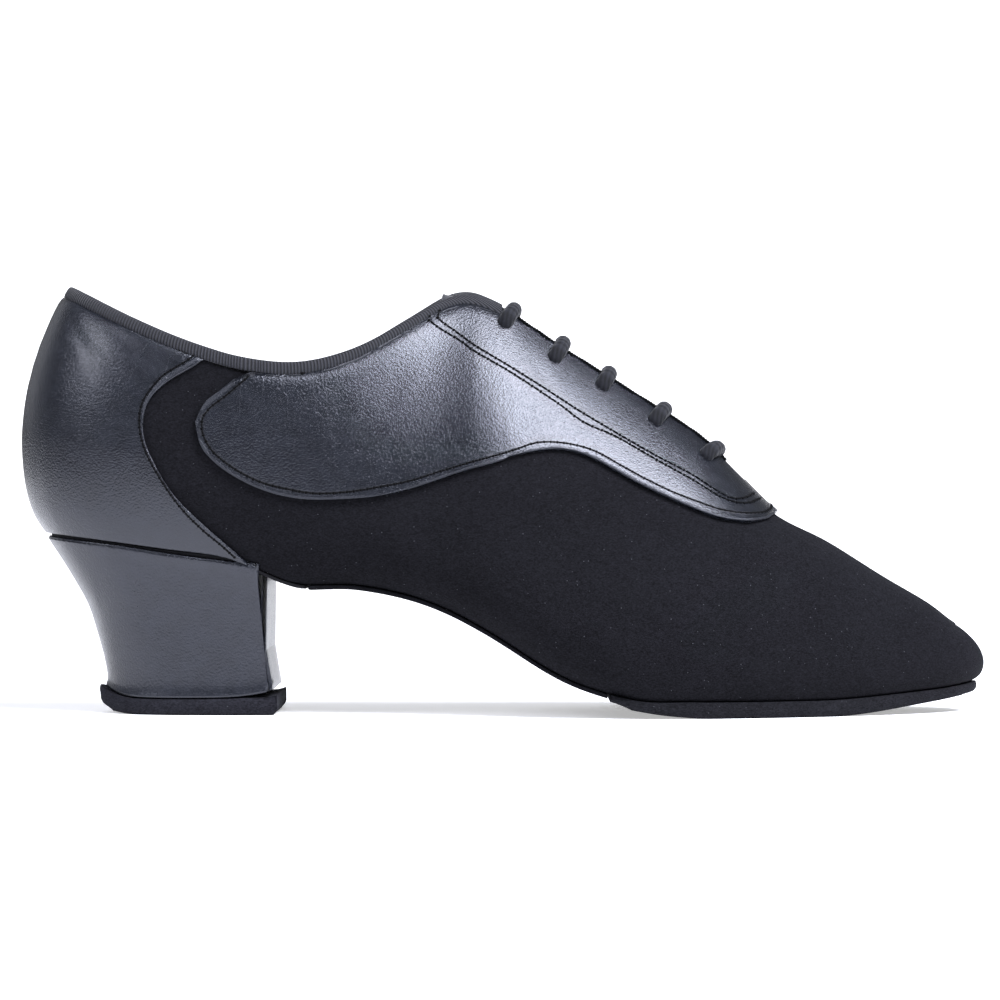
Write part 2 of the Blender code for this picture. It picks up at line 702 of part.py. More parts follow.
def build_lace_bar(number, share, material):
    """Straight run of flattened cord over the facing gap, clear of both edges."""
    station = BINDING_START - 0.1 + (THROAT + 0.15 - (BINDING_START - 0.1)) * share
    left = outer(station, 1.0, -1.0)
    right = outer(station, 1.0, 1.0)
    ahead = outer(station - 0.1, 1.0, -1.0) - outer(station + 0.1, 1.0, -1.0)
    ahead[1] = 0.0
    ahead /= np.linalg.norm(ahead)
    axis = right - left
    length = np.linalg.norm(axis)
    axis /= length
    up = np.cross(ahead, axis)
    if up[2] < 0.0:
        up = -up
    middle = 0.5 * (left + right) + up * LACE_LIFT
    half = 0.5 * length + LACE_REACH
    rings = []
    for t, size in ((-1.0, 0.45), (-0.965, 0.85), (-0.90, 1.0), (0.90, 1.0), (0.965, 0.85), (1.0, 0.45)):
        ring = []
        for k in range(10):
            angle = 2.0 * math.pi * k / 10
            wide = ahead * 0.5 * LACE_WIDTH * size * math.cos(angle)
            high = up * 0.5 * LACE_HEIGHT * size * math.sin(angle)
            ring.append(middle + axis * half * t + wide + high)
        rings.append(ring)
    return build_tube("lace_bar_%d" % number, rings, material, 60.0)


def main():
    for shape in list(bpy.data.objects):
        bpy.data.objects.remove(shape, do_unlink=True)
    suede = (0.030, 0.031, 0.036)
    leather = (0.034, 0.036, 0.042)
    sole = (0.045, 0.045, 0.050)
    cord = (0.060, 0.062, 0.068)
    build_upper(finish_material("upper_suede", suede, 0.92))
    build_counter(finish_material("counter_leather", leather, 0.42))
    build_eyestay(finish_material("eyestay_leather", leather, 0.42))
    build_binding(finish_material("binding_tape", (0.060, 0.062, 0.070), 0.75))
    build_tongue(finish_material("tongue_leather", leather, 0.55))
    build_insole(finish_material("insole_leather", (0.10, 0.09, 0.08), 0.70))
    build_forepart_sole(finish_material("forepart_sole_suede", sole, 0.95))
    build_waist_cover(finish_material("waist_suede", suede, 0.92))
    build_heel_seat_sole(finish_material("seat_sole_suede", sole, 0.95))
    build_heel_block(finish_material("heel_cover_leather", leather, 0.35))
    build_breast_cover(finish_material("breast_leather", leather, 0.35))
    build_heel_tip(finish_material("heel_tip_suede", sole, 0.95))
    for number, share in enumerate(LACE_STATIONS, 1):
        build_lace_bar(number, share, finish_material("lace_cord_%d" % number, cord, 0.70))


main()
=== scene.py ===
"""Ballroom dance shoe: smooth suede and leather looks over the fixed CAD frame, run as a script.

Lengths in the tables of lines and creases are millimetres as seen from the outer side: x towards the
toe from the middle of the shoe, z up from the floor. Insets are millimetres too, and all other lengths
are metres.
"""

import math

import bmesh
import bpy
import numpy as np
from mathutils import Matrix, Vector
from mathutils.bvhtree import BVHTree


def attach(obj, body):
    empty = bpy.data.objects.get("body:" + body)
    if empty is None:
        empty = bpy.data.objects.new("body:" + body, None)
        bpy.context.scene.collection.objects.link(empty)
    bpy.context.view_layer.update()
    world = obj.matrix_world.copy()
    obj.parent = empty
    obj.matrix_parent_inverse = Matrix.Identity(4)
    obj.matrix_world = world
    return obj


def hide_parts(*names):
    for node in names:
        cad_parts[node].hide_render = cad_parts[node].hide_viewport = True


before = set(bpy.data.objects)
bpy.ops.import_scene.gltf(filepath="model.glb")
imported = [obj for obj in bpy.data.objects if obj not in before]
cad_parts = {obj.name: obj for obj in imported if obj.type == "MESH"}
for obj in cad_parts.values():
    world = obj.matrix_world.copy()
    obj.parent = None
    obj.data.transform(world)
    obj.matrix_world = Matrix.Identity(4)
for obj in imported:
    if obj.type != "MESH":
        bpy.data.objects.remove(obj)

bl_info = {
    "name": "Ballroom dance shoe looks",
    "version": (1, 0, 0),
    "blender": (4, 5, 0),
    "location": "View3D > Sidebar > Shoe",
    "description": "Builds the visible leather, suede, stitching, lace and studio round the shoe's frame",
    "category": "Object",
}

MM = 0.001
MIDDLE_Y = 0.0026
CAMERA_AWAY = 1.150
CAMERA_HIGH = 0.06024
CAMERA_X = -0.00057
FRAME_WIDTH = 0.285

# Edge of the eyestay overlay from the ridge in front, along its lower side and round the wing
EYESTAY_LINE = (
    (77.6, 56.3), (75.0, 55.0), (69.0, 54.7), (61.8, 55.8), (54.4, 58.3), (47.3, 61.1), (39.9, 64.7),
    (32.8, 68.6), (25.4, 72.6), (18.2, 74.5), (10.8, 74.8), (4.6, 72.9), (-0.9, 71.2), (-9.1, 69.0),
    (-17.4, 66.5), (-25.4, 64.0), (-33.6, 62.3), (-44.5, 60.6), (-54.1, 60.3), (-62.4, 61.7),
    (-69.8, 63.7), (-76.9, 67.3), (-83.2, 72.1), (-86.3, 76.6), (-87.4, 80.3), (-87.1, 84.2),
    (-84.5, 87.9), (-79.4, 91.9), (-73.1, 97.3),
)
# Front edge of the counter overlay from the top line down
COUNTER_LINE = (
    (-86.0, 101.2), (-89.7, 98.6), (-95.9, 94.7), (-99.6, 90.5), (-101.6, 86.8), (-102.1, 81.7),
    (-101.0, 76.1), (-98.4, 70.4), (-94.4, 63.9), (-90.2, 58.3), (-84.5, 52.6), (-79.4, 48.4),
    (-75.4, 44.8),
)
# The two rows of stitches along the facing
FACING_ROW_UPPER = (
    (-18.4, 112.3), (-16.9, 110.9), (-12.1, 107.5), (-7.4, 104.1), (2.8, 98.0), (13.1, 91.5),
    (21.9, 85.8), (32.8, 79.3), (43.6, 73.1), (54.4, 67.4), (61.8, 62.6), (65.5, 60.9), (69.0, 60.9),
    (72.1, 62.3),
)
FACING_ROW_LOWER = (
    (-20.8, 111.5), (-17.6, 109.1), (-12.2, 105.8), (-7.4, 102.4), (2.8, 96.5), (16.0, 87.8),
    (23.4, 82.4), (32.8, 78.2), (43.6, 72.0), (54.4, 66.0), (61.8, 61.5), (66.1, 59.8), (70.4, 59.5),
    (73.8, 60.9),
)
# Places where each lace bar enters the eyestay, centre of the punched hole
LACE_HOLES = ((1.0, 111.2), (15.2, 101.2), (28.8, 93.2), (43.8, 83.2), (58.4, 73.2))
# Height of the heel cover's rim along the seat, from the back to the breast
HEEL_RIM = ((-128.0, 50.2), (-106.7, 47.8), (-94.4, 45.8), (-83.7, 44.2), (-74.0, 43.3), (-68.0, 42.6))
# Middle of the hollow inside the upper, for telling lining from suede
HOLLOW_LINE = ((-118.0, 76.0), (-60.0, 66.0), (0.0, 58.0), (50.0, 36.0), (90.0, 22.0), (112.0, 17.0))

# How far the cut edges and the sewn rows lie inside the overlay outlines, in millimetres
CUT_INSET = 0.15
EYESTAY_SEAM_INSET = 1.9
COUNTER_SEAM_INSET = 1.25
# Sizes of the whipped facing edge, the tape's ribs, and the lace with its holes
WHIP_PITCH = 0.00085
RIB_PITCH = 0.00088
BRAID_PITCH = 0.0036
BRAID_STRANDS = 5
BRAID_HEIGHT = 0.030
LACE_SIDES = 36
HOLE_RADIUS = 0.0021
# Middle of the collar opening along the shoe
COLLAR_MIDDLE_X = -0.070
# Places searched for the crest of the facing, in millimetres along the shoe and out from its middle,
# and the height in metres below which a place doesn't count
CREST_ALONG = [-2.0 + 1.15 * k for k in range(58)]
CREST_ACROSS = [1.5 + 0.4 * k for k in range(46)]
CREST_LOWEST = 0.055
# Smooth copies: angle in degrees from which an edge is rounded, and the most that the fit moves a point
SHARP_ANGLE = 48.0
FIT_LIMIT = 0.0025

# The studio: half width and depth of the sweep, the radius of its curve and the height behind
SWEEP_WIDTH = 3.0
SWEEP_DEPTH = 2.2
SWEEP_CURVE = 0.8
SWEEP_RISE = 2.5
SKY_STRENGTH = 0.32
# Soft boxes: name, place, aim, size and watts
LAMPS = (
    ("key_box", (0.59, -0.50, 1.02), (0.04, 0.0, 0.08), (0.80, 0.66), 47.0),
    ("fill_box", (-0.84, -0.48, 0.74), (-0.10, 0.0, 0.07), (0.34, 0.34), 5.0),
    ("back_box", (-0.85, 0.85, 0.45), (-0.10, 0.0, 0.07), (0.5, 0.6), 0.5),
)

# Soft creases worked into the leather and suede: centre x and z, direction in degrees, length, width, depth
CREASES = (
    (-106.0, 106.0, -35.0, 26.0, 2.6, 0.20), (-112.0, 99.0, -50.0, 22.0, 2.4, 0.16),
    (-99.0, 100.0, -28.0, 18.0, 2.0, 0.14), (-118.0, 104.0, -62.0, 24.0, 2.2, 0.14),
    (12.0, 94.0, -62.0, 16.0, 2.2, 0.16), (-30.0, 92.0, 66.0, 22.0, 3.2, 0.10),
    (-16.0, 84.0, 40.0, 20.0, 2.8, 0.10), (-46.0, 84.0, 78.0, 26.0, 3.6, 0.10),
    (0.0, 108.0, -58.0, 12.0, 2.0, 0.10), (62.0, 63.0, -48.0, 9.0, 1.8, 0.16),
    (50.0, 70.0, -52.0, 10.0, 2.0, 0.10), (60.0, 40.0, 72.0, 30.0, 7.0, 0.22),
    (44.0, 44.0, 78.0, 34.0, 8.0, 0.24), (-58.0, 52.0, 8.0, 26.0, 5.0, 0.22),
    (20.0, 40.0, 60.0, 30.0, 8.0, 0.20),
)


def linear(colour):
    """Linear colour from sRGB hex digits."""
    parts = [int(colour[i:i + 2], 16) / 255 for i in (0, 2, 4)]
    return tuple(c / 12.92 if c <= 0.04045 else ((c + 0.055) / 1.055) ** 2.4 for c in parts) + (1.0,)


def colour_property(name, description, colour):
    """Colour setting with its default given in sRGB hex digits."""
    return bpy.props.FloatVectorProperty(name=name, description=description, size=4, subtype="COLOR",
                                         min=0.0, max=1.0, default=linear(colour))


def size_property(name, description, size):
    """Length setting, in metres."""
    return bpy.props.FloatProperty(name=name, description=description, default=size,
                                   unit="LENGTH", subtype="DISTANCE")


def shade(colour, share):
    """Darker copy of a linear colour."""
    return tuple(c * share for c in tuple(colour)[:3]) + (1.0,)


class ShoeLookSettings(bpy.types.PropertyGroup):
    """Sizes and colours of the finish."""
    edge_round: size_property("Edge rounding", "Width of the rounding on cut leather edges", 0.00032)
    stitch_pitch: size_property("Stitch pitch", "Length of one edge stitch and its space", 0.0019)
    facing_pitch: size_property("Facing stitch pitch", "Length of one facing stitch and its space", 0.0029)
    thread_width: size_property("Thread width", "Diameter of the sewing thread", 0.00054)
    lace_width: size_property("Lace width", "Diameter of the round lace", 0.0044)
    fine_levels: bpy.props.IntProperty(
        name="Fine levels", description="Smoothing steps of the counter, one less on the eyestay",
        default=3, min=2, max=3)
    suede_colour: colour_property("Suede", "Colour of the raised nap of the upper", "18181c")
    leather_colour: colour_property("Overlay leather", "Colour of the counter and eyestay leather", "13151a")
    heel_colour: colour_property("Heel leather", "Colour of the leather on the heel", "14161c")
    sole_colour: colour_property("Sole suede", "Colour of the forepart sole", "202024")
    tip_colour: colour_property("Heel tip suede", "Colour of the top piece of the heel", "29292f")
    rim_colour: colour_property("Seat edge", "Colour of the dyed edge above the heel", "141417")
    lining_colour: colour_property("Lining", "Colour of the lining leather", "2b2b30")
    sock_colour: colour_property("Insole", "Colour of the insole sock", "38383d")
    tongue_colour: colour_property("Tongue", "Colour of the tongue leather", "2a2b30")
    cut_colour: colour_property("Tongue edge", "Colour of the undyed cut edge of the tongue", "84858c")
    tape_colour: colour_property("Binding", "Colour of the ribs of the binding tape", "25262d")
    lace_colour: colour_property("Lace", "Colour of the lace's outer strands", "1f2026")
    thread_colour: colour_property("Thread", "Colour of the sewing thread", "050506")


def feed(tree, node, inputs):
    """Sets inputs of a node, or links them where the value is a socket."""
    for key, value in inputs.items() if isinstance(inputs, dict) else enumerate(inputs):
        if isinstance(value, bpy.types.NodeSocket):
            tree.links.new(value, node.inputs[key])
        else:
            node.inputs[key].default_value = value


def add_node(tree, kind, inputs=(), output=0, **settings):
    """Adds a node with its settings and links, and gives back one of its outputs.

    The inputs come in socket order, or as a table by name or number.
    """
    made = tree.nodes.new("ShaderNode" + kind)
    for name, value in settings.items():
        setattr(made, name, value)
    feed(tree, made, inputs)
    return made.outputs[output]


def new_material(name):
    """New material with its node tree and its principled shader."""
    material = bpy.data.materials.new(name)
    material.use_nodes = True
    tree = material.node_tree
    shader = next(node for node in tree.nodes if node.type == "BSDF_PRINCIPLED")
    return material, tree, shader


def suede_material(name, colour, nap=0.9):
    """Split leather, buffed to a short nap, dyed black: matt, with a faint bloom at grazing angles."""
    material, tree, shader = new_material(name)
    place = add_node(tree, "TexCoord", output="Object")
    patch = add_node(tree, "TexNoise",
                     {"Vector": place, "Scale": 1.0 / 0.016, "Detail": 4.0, "Roughness": 0.6})
    combed = add_node(tree, "Mapping",
                      {"Vector": place, "Scale": (1.0, 0.7, 2.0), "Rotation": (0.0, 0.5, 0.0)})
    stroke = add_node(tree, "TexNoise",
                      {"Vector": combed, "Scale": 1.0 / 0.002, "Detail": 3.0, "Roughness": 0.55})
    fibre = add_node(tree, "TexNoise",
                     {"Vector": combed, "Scale": 1.0 / 0.00065, "Detail": 3.0, "Roughness": 0.75})
    patch_share = add_node(tree, "Math", (patch, 0.14), operation="MULTIPLY")
    fibre_share = add_node(tree, "Math", (fibre, 0.86), operation="MULTIPLY")
    stroke_share = add_node(tree, "Math", (stroke, 0.5), operation="SUBTRACT")
    stroke_share = add_node(tree, "Math", (stroke_share, 0.18), operation="MULTIPLY")
    tone = add_node(tree, "Math", (patch_share, fibre_share), operation="ADD")
    tone = add_node(tree, "Math", (tone, stroke_share), operation="ADD")
    tone = add_node(tree, "MapRange", (tone, 0.3, 0.72, 0.0, 1.0), interpolation_type="SMOOTHSTEP")
    colour = add_node(tree, "Mix", {0: tone, 6: shade(colour, 0.24), 7: tuple(colour)}, output=2,
                      data_type="RGBA")
    cells = add_node(tree, "TexVoronoi", {"Vector": place, "Scale": 1.0 / 0.0015}, output="Distance")
    rare = add_node(tree, "SeparateColor", (cells.node.outputs["Color"],))
    rare = add_node(tree, "Math", (rare, 0.7), operation="GREATER_THAN")
    spot = add_node(tree, "MapRange", (cells, 0.06, 0.11, 1.0, 0.0), interpolation_type="SMOOTHSTEP")
    spot = add_node(tree, "Math", (spot, rare), operation="MULTIPLY")
    spot = add_node(tree, "Math", (spot, 0.18), operation="MULTIPLY")
    colour = add_node(tree, "Mix", {0: spot, 6: colour, 7: linear("8d8f96")}, output=2, data_type="RGBA")
    fine = add_node(tree, "Bump", {"Height": fibre, "Strength": 0.6 * nap, "Distance": 0.00022})
    feed(tree, shader,
         {"Base Color": colour, "Roughness": 0.95, "Specular IOR Level": 0.06,
          "Sheen Weight": 0.045 * nap, "Sheen Roughness": 0.45, "Sheen Tint": linear("8a8c98"),
          "Normal": add_node(tree, "Bump",
                             {"Height": stroke, "Strength": 0.3, "Distance": 0.0003, "Normal": fine})})
    return material


def crease_lines(tree, place, size, turn, stretch):
    """Thin wandering lines where a stretched noise passes its middle value: 0 on a line, 1 off it."""
    turned = add_node(tree, "Mapping",
                      {"Vector": place, "Rotation": (0.0, turn, 0.0), "Scale": (1.0, 1.0, stretch)})
    wander = add_node(tree, "TexNoise",
                      {"Vector": turned, "Scale": 1.0 / size, "Detail": 3.0, "Roughness": 0.55,
                       "Distortion": 0.6})
    away = add_node(tree, "Math", (add_node(tree, "Math", (wander, 0.5), operation="SUBTRACT"),),
                    operation="ABSOLUTE")
    return add_node(tree, "MapRange", (away, 0.0, 0.035, 0.0, 1.0), interpolation_type="SMOOTHSTEP")


def stitch_relief(tree):
    """Relief of the cut edge, its raised bead and the sewn rows, in shares of the bump distance."""
    edge = add_node(tree, "Attribute", output="Fac", attribute_name="edge")
    bead = add_node(tree, "MapRange", (edge, 0.0, 0.45, 0.0, 1.0), interpolation_type="SMOOTHSTEP")
    for start, end, operation in ((1.2, 1.85, "SUBTRACT"), (EYESTAY_SEAM_INSET, 2.5, "ADD")):
        side = add_node(tree, "MapRange", (edge, start, end, 0.0, 0.4), interpolation_type="SMOOTHSTEP")
        bead = add_node(tree, "Math", (bead, side), operation=operation)
    rows = [add_node(tree, "Attribute", output="Fac", attribute_name=name)
            for name in ("row_upper", "row_lower", "row_top")]
    rows = [add_node(tree, "Math", (row,), operation="ABSOLUTE") for row in rows]
    nearest = add_node(tree, "Math",
                       (add_node(tree, "Math", (rows[0], rows[1]), operation="MINIMUM"), rows[2]),
                       operation="MINIMUM")
    groove = add_node(tree, "MapRange", (nearest, 0.08, 0.42, 0.0, 1.0), interpolation_type="SMOOTHSTEP")
    return add_node(tree, "Math", (bead, groove), operation="ADD"), edge, nearest


def leather_material(name, colour, shine=0.225, wrinkle=1.0, edged=True):
    """Full-grain calf, aniline dyed black and polished: fine pores, a soft gloss, hair-thin creases."""
    material, tree, shader = new_material(name)
    place = add_node(tree, "TexCoord", output="Object")
    pores = add_node(tree, "TexVoronoi", {"Vector": place, "Scale": 1.0 / 0.00062, "Smoothness": 0.35},
                     output="Distance", feature="SMOOTH_F1")
    grain = add_node(tree, "TexNoise",
                     {"Vector": place, "Scale": 1.0 / 0.00066, "Detail": 3.0, "Roughness": 0.7})
    soft = add_node(tree, "TexNoise",
                    {"Vector": place, "Scale": 1.0 / 0.004, "Detail": 3.0, "Roughness": 0.55})
    wide = add_node(tree, "TexNoise",
                    {"Vector": place, "Scale": 1.0 / 0.026, "Detail": 2.0, "Roughness": 0.5})
    lines = add_node(tree, "Math",
                     (crease_lines(tree, place, 0.0026, 0.55, 2.4),
                      crease_lines(tree, place, 0.0018, -0.85, 1.8)), operation="MINIMUM")
    worn = add_node(tree, "Math",
                    (add_node(tree, "Attribute", output="Fac", attribute_name="wrinkle"), wrinkle),
                    operation="MULTIPLY")
    folds = add_node(tree, "Math", (lines, worn), operation="MULTIPLY")
    mottle = add_node(tree, "MapRange", (soft, 0.3, 0.7, 0.0, 1.0), interpolation_type="SMOOTHSTEP")
    colour = add_node(tree, "Mix", {0: mottle, 6: shade(colour, 0.62), 7: tuple(colour)}, output=2,
                      data_type="RGBA")
    rough = shine
    for patches in (soft, wide):
        change = add_node(tree, "Math", (patches, 0.5), operation="SUBTRACT")
        change = add_node(tree, "Math", (change, 0.1), operation="MULTIPLY")
        rough = add_node(tree, "Math", (rough, change), operation="ADD")
    first = add_node(tree, "Bump", {"Height": folds, "Strength": 0.04, "Distance": 0.00012})
    second = add_node(tree, "Bump",
                      {"Height": soft, "Strength": 0.03, "Distance": 0.0006, "Normal": first})
    third = add_node(tree, "Bump",
                     {"Height": grain, "Strength": 0.9, "Distance": 0.00018, "Normal": second})
    last = add_node(tree, "Bump",
                    {"Height": pores, "Strength": 0.5, "Distance": 0.00012, "Normal": third})
    coat = 0.12
    if edged:
        relief, edge, nearest = stitch_relief(tree)
        raw = add_node(tree, "MapRange", (edge, 0.25, 0.6, 0.3, 0.0), interpolation_type="SMOOTHSTEP")
        rough = add_node(tree, "Math", (rough, raw), operation="ADD")
        # Painted shade: along the sewn rows the leather turns near black, as the groove that the thread
        # pulls in lies in shade
        sewn = add_node(tree, "Math", (edge, EYESTAY_SEAM_INSET), operation="SUBTRACT")
        sewn = add_node(tree, "Math", (sewn,), operation="ABSOLUTE")
        sewn = add_node(tree, "Math", (sewn, nearest), operation="MINIMUM")
        sewn = add_node(tree, "MapRange", (sewn, 0.1, 0.36, 0.85, 0.0), interpolation_type="SMOOTHSTEP")
        colour = add_node(tree, "Mix", {0: sewn, 6: colour, 7: linear("050506")}, output=2,
                          data_type="RGBA")
        matt = add_node(tree, "Math", (sewn, 0.3), operation="MULTIPLY")
        rough = add_node(tree, "Math", (rough, matt), operation="ADD")
        last = add_node(tree, "Bump",
                        {"Height": relief, "Strength": 0.38, "Distance": 0.0002, "Normal": last})
        fuzz = add_node(tree, "TexNoise",
                        {"Vector": place, "Scale": 1.0 / 0.0005, "Detail": 2.0, "Roughness": 0.55})
        rim = add_node(tree, "MapRange", (edge, 0.4, 1.0, 1.0, 0.0), interpolation_type="SMOOTHSTEP")
        fuzz = add_node(tree, "Math", (fuzz, rim), operation="MULTIPLY")
        last = add_node(tree, "Bump",
                        {"Height": fuzz, "Strength": 0.7, "Distance": 0.0003, "Normal": last})
        coat = add_node(tree, "MapRange", (edge, 0.35, 0.8, 0.0, coat), interpolation_type="SMOOTHSTEP")
    feed(tree, shader, {
        "Base Color": colour, "Roughness": rough, "Specular IOR Level": 0.5,
        "Specular Tint": linear("eff2ff"), "Coat Weight": coat, "Coat Roughness": 0.22, "Normal": last})
    return material


def tape_material(colour):
    """Grosgrain binding tape, woven from dull black polyester: close cross ribs."""
    material, tree, shader = new_material("binding_grosgrain_polyester")
    along = add_node(tree, "Attribute", output="Fac", attribute_name="along")
    place = add_node(tree, "TexCoord", output="Object")
    rib = add_node(tree, "Math", (along, 2.0 * math.pi / RIB_PITCH), operation="MULTIPLY")
    rib = add_node(tree, "Math", (rib,), operation="SINE")
    rib = add_node(tree, "Math", (rib, 0.5), operation="MULTIPLY")
    rib = add_node(tree, "Math", (rib, 0.5), operation="ADD")
    fibre = add_node(tree, "TexNoise",
                     {"Vector": place, "Scale": 1.0 / 0.0003, "Detail": 2.0, "Roughness": 0.55})
    # Painted shade and light: the troughs between the ribs are near black, and the crests take the set
    # colour
    rib_shading = add_node(tree, "Mix", {0: rib, 6: shade(colour, 0.07), 7: tuple(colour)}, output=2,
                      data_type="RGBA")
    height = add_node(tree, "Math", (fibre, 0.35), operation="MULTIPLY")
    height = add_node(tree, "Math", (rib, height), operation="ADD")
    fuzz = add_node(tree, "Math", (fibre, 0.3), operation="MULTIPLY")
    colour = add_node(tree, "Mix", {0: fuzz, 6: rib_shading, 7: shade(colour, 0.7)}, output=2, data_type="RGBA")
    relief = add_node(tree, "Bump", {"Height": height, "Strength": 1.0, "Distance": 0.00026})
    feed(tree, shader, {"Base Color": colour, "Roughness": 0.72, "Specular IOR Level": 0.3,
                        "Sheen Weight": 0.08, "Sheen Roughness": 0.4, "Normal": relief})
    return material


def cord_material(colour):
    """Round braided lace of spun polyester, dyed black: crossing strands with a dusty matt face."""
    material, tree, shader = new_material("lace_braided_polyester")
    path = add_node(tree, "Attribute", output="Vector", attribute_name="path")
    path = add_node(tree, "SeparateXYZ", (path,)).node
    angle = add_node(tree, "Math", (path.outputs[1], path.outputs[0]), operation="ARCTAN2")
    along = add_node(tree, "Math", (path.outputs[2], 2.0 * math.pi / BRAID_PITCH), operation="MULTIPLY")
    around = add_node(tree, "Math", (angle, BRAID_STRANDS), operation="MULTIPLY")
    left = add_node(tree, "Math", (around, along), operation="ADD")
    left = add_node(tree, "Math", (left,), operation="SINE")
    right = add_node(tree, "Math", (around, along), operation="SUBTRACT")
    right = add_node(tree, "Math", (right,), operation="SINE")
    braid = add_node(tree, "Math", (left, right), operation="MULTIPLY")
    braid = add_node(tree, "Math", (braid, 0.6), operation="MULTIPLY")
    place = add_node(tree, "TexCoord", output="Object")
    fibre = add_node(tree, "TexNoise",
                     {"Vector": place, "Scale": 1.0 / 0.00028, "Detail": 2.0, "Roughness": 0.55})
    # The braid also sets the colour: painted shade in the valleys between the strands, with random fibre
    # tone over it
    tone = add_node(tree, "Math", (fibre, 0.6), operation="MULTIPLY")
    tone = add_node(tree, "Math", (braid, tone), operation="ADD")
    tone = add_node(tree, "MapRange", (tone, -0.6, 1.2, 0.0, 1.0), interpolation_type="SMOOTHSTEP")
    height = add_node(tree, "Math", (fibre, 0.5), operation="MULTIPLY")
    height = add_node(tree, "Math", (braid, height), operation="ADD")
    colour = add_node(tree, "Mix", {0: tone, 6: shade(colour, 0.18), 7: tuple(colour)}, output=2,
                      data_type="RGBA")
    relief = add_node(tree, "Bump", {"Height": height, "Strength": 0.6, "Distance": 0.00016})
    feed(tree, shader, {"Base Color": colour, "Roughness": 0.85, "Specular IOR Level": 0.2,
                        "Sheen Weight": 0.1, "Sheen Roughness": 0.4, "Normal": relief})
    return material


def plain_material(name, colour, rough, grain=0.0004):
    """Simple dyed surface with an even fine grain."""
    material, tree, shader = new_material(name)
    place = add_node(tree, "TexCoord", output="Object")
    grains = add_node(tree, "TexNoise",
                      {"Vector": place, "Scale": 1.0 / grain, "Detail": 3.0, "Roughness": 0.55})
    colour = add_node(tree, "Mix", {0: grains, 6: shade(colour, 0.55), 7: tuple(colour)}, output=2,
                      data_type="RGBA")
    relief = add_node(tree, "Bump", {"Height": grains, "Strength": 0.5, "Distance": 0.0001})
    feed(tree, shader, {"Base Color": colour, "Roughness": rough, "Specular IOR Level": 0.12,
                        "Normal": relief})
    return material


def link_piece(name, mesh, materials):
    """New object at the origin carrying a mesh, riding on the shoe."""
    piece = bpy.data.objects.new(name, mesh)
    bpy.context.scene.collection.objects.link(piece)
    mesh.materials.clear()
    for material in materials:
        mesh.materials.append(material)
    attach(piece, "root")
    return piece


def smooth_copy(node_name, rounding, levels):
    """Smooth mesh from a copy of a CAD node: merged, joined to quads, edges bevelled, subdivided.

    The cage is moved so that the smooth surface runs through the node's own points, and what still
    bulges out of the node's box is set back into it. So the size stays.
    """
    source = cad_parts[node_name]
    work = bmesh.new()
    work.from_mesh(source.data)
    work.transform(source.matrix_world)
    bmesh.ops.remove_doubles(work, verts=work.verts, dist=1e-5)
    bmesh.ops.join_triangles(work, faces=work.faces, angle_face_threshold=math.radians(38),
                             angle_shape_threshold=math.radians(50), topology_influence=0.0)
    crease = work.edges.layers.float.new("crease_edge")
    if rounding > 0.0:
        work.edges.ensure_lookup_table()
        hard = [e for e in work.edges if len(e.link_faces) == 2
                and e.calc_face_angle(0.0) > math.radians(SHARP_ANGLE) and e.calc_length() > rounding]
        made = bmesh.ops.bevel(work, geom=hard, offset=rounding, offset_type="OFFSET", segments=2,
                               profile=0.5, affect="EDGES", material=-1, clamp_overlap=True)
        rounded = set(made["faces"])
        bmesh.ops.recalc_face_normals(work, faces=work.faces)
        for edge in work.edges:
            count = sum(face in rounded for face in edge.link_faces)
            if count == 1 or (count == 2 and edge.calc_face_angle(0.0) > math.radians(20)):
                edge[crease] = 1.0
    bmesh.ops.recalc_face_normals(work, faces=work.faces)
    rough = bpy.data.meshes.new(node_name + "_rough")
    work.to_mesh(rough)
    work.free()
    holder = bpy.data.objects.new(node_name + "_holder", rough)
    bpy.context.scene.collection.objects.link(holder)
    step = holder.modifiers.new("smooth", "SUBSURF")
    step.levels = levels
    step.render_levels = levels
    wanted = points_of(rough)
    cage = wanted.copy()
    for _ in range(2):
        mesh = bpy.data.meshes.new_from_object(holder.evaluated_get(bpy.context.evaluated_depsgraph_get()))
        cage = wanted + np.clip(cage - points_of(mesh)[:len(wanted)], -FIT_LIMIT, FIT_LIMIT)
        bpy.data.meshes.remove(mesh)
        set_points(rough, cage)
        holder.update_tag()
    mesh = bpy.data.meshes.new_from_object(holder.evaluated_get(bpy.context.evaluated_depsgraph_get()))
    bpy.data.objects.remove(holder, do_unlink=True)
    bpy.data.meshes.remove(rough)
    set_points(mesh, np.clip(points_of(mesh), wanted.min(axis=0), wanted.max(axis=0)))
    mesh.shade_smooth()
    return mesh


def points_of(mesh):
    """Places of the vertices as an array."""
    points = np.empty(len(mesh.vertices) * 3)
    mesh.vertices.foreach_get("co", points)
    return points.reshape(-1, 3)


def set_points(mesh, points):
    """Moves the vertices to new places."""
    mesh.vertices.foreach_set("co", points.ravel())
    mesh.update()


def normals_of(mesh):
    """Normals of the vertices as an array."""
    values = np.empty(len(mesh.vertices) * 3)
    mesh.vertices.foreach_get("normal", values)
    return values.reshape(-1, 3)


def set_attribute(mesh, name, values):
    """Keeps one number for each vertex under a name."""
    layer = mesh.attributes.new(name, "FLOAT", "POINT")
    layer.data.foreach_set("value", np.asarray(values, dtype=np.float32))


def curve_point(a, b, c, d, t):
    """Place on the smooth curve from b to c, with a before and d after them."""
    bend = 2 * a - 5 * b + 4 * c - d
    return b + 0.5 * ((c - a) * t + bend * t ** 2 + (3 * b - a - 3 * c + d) * t ** 3)


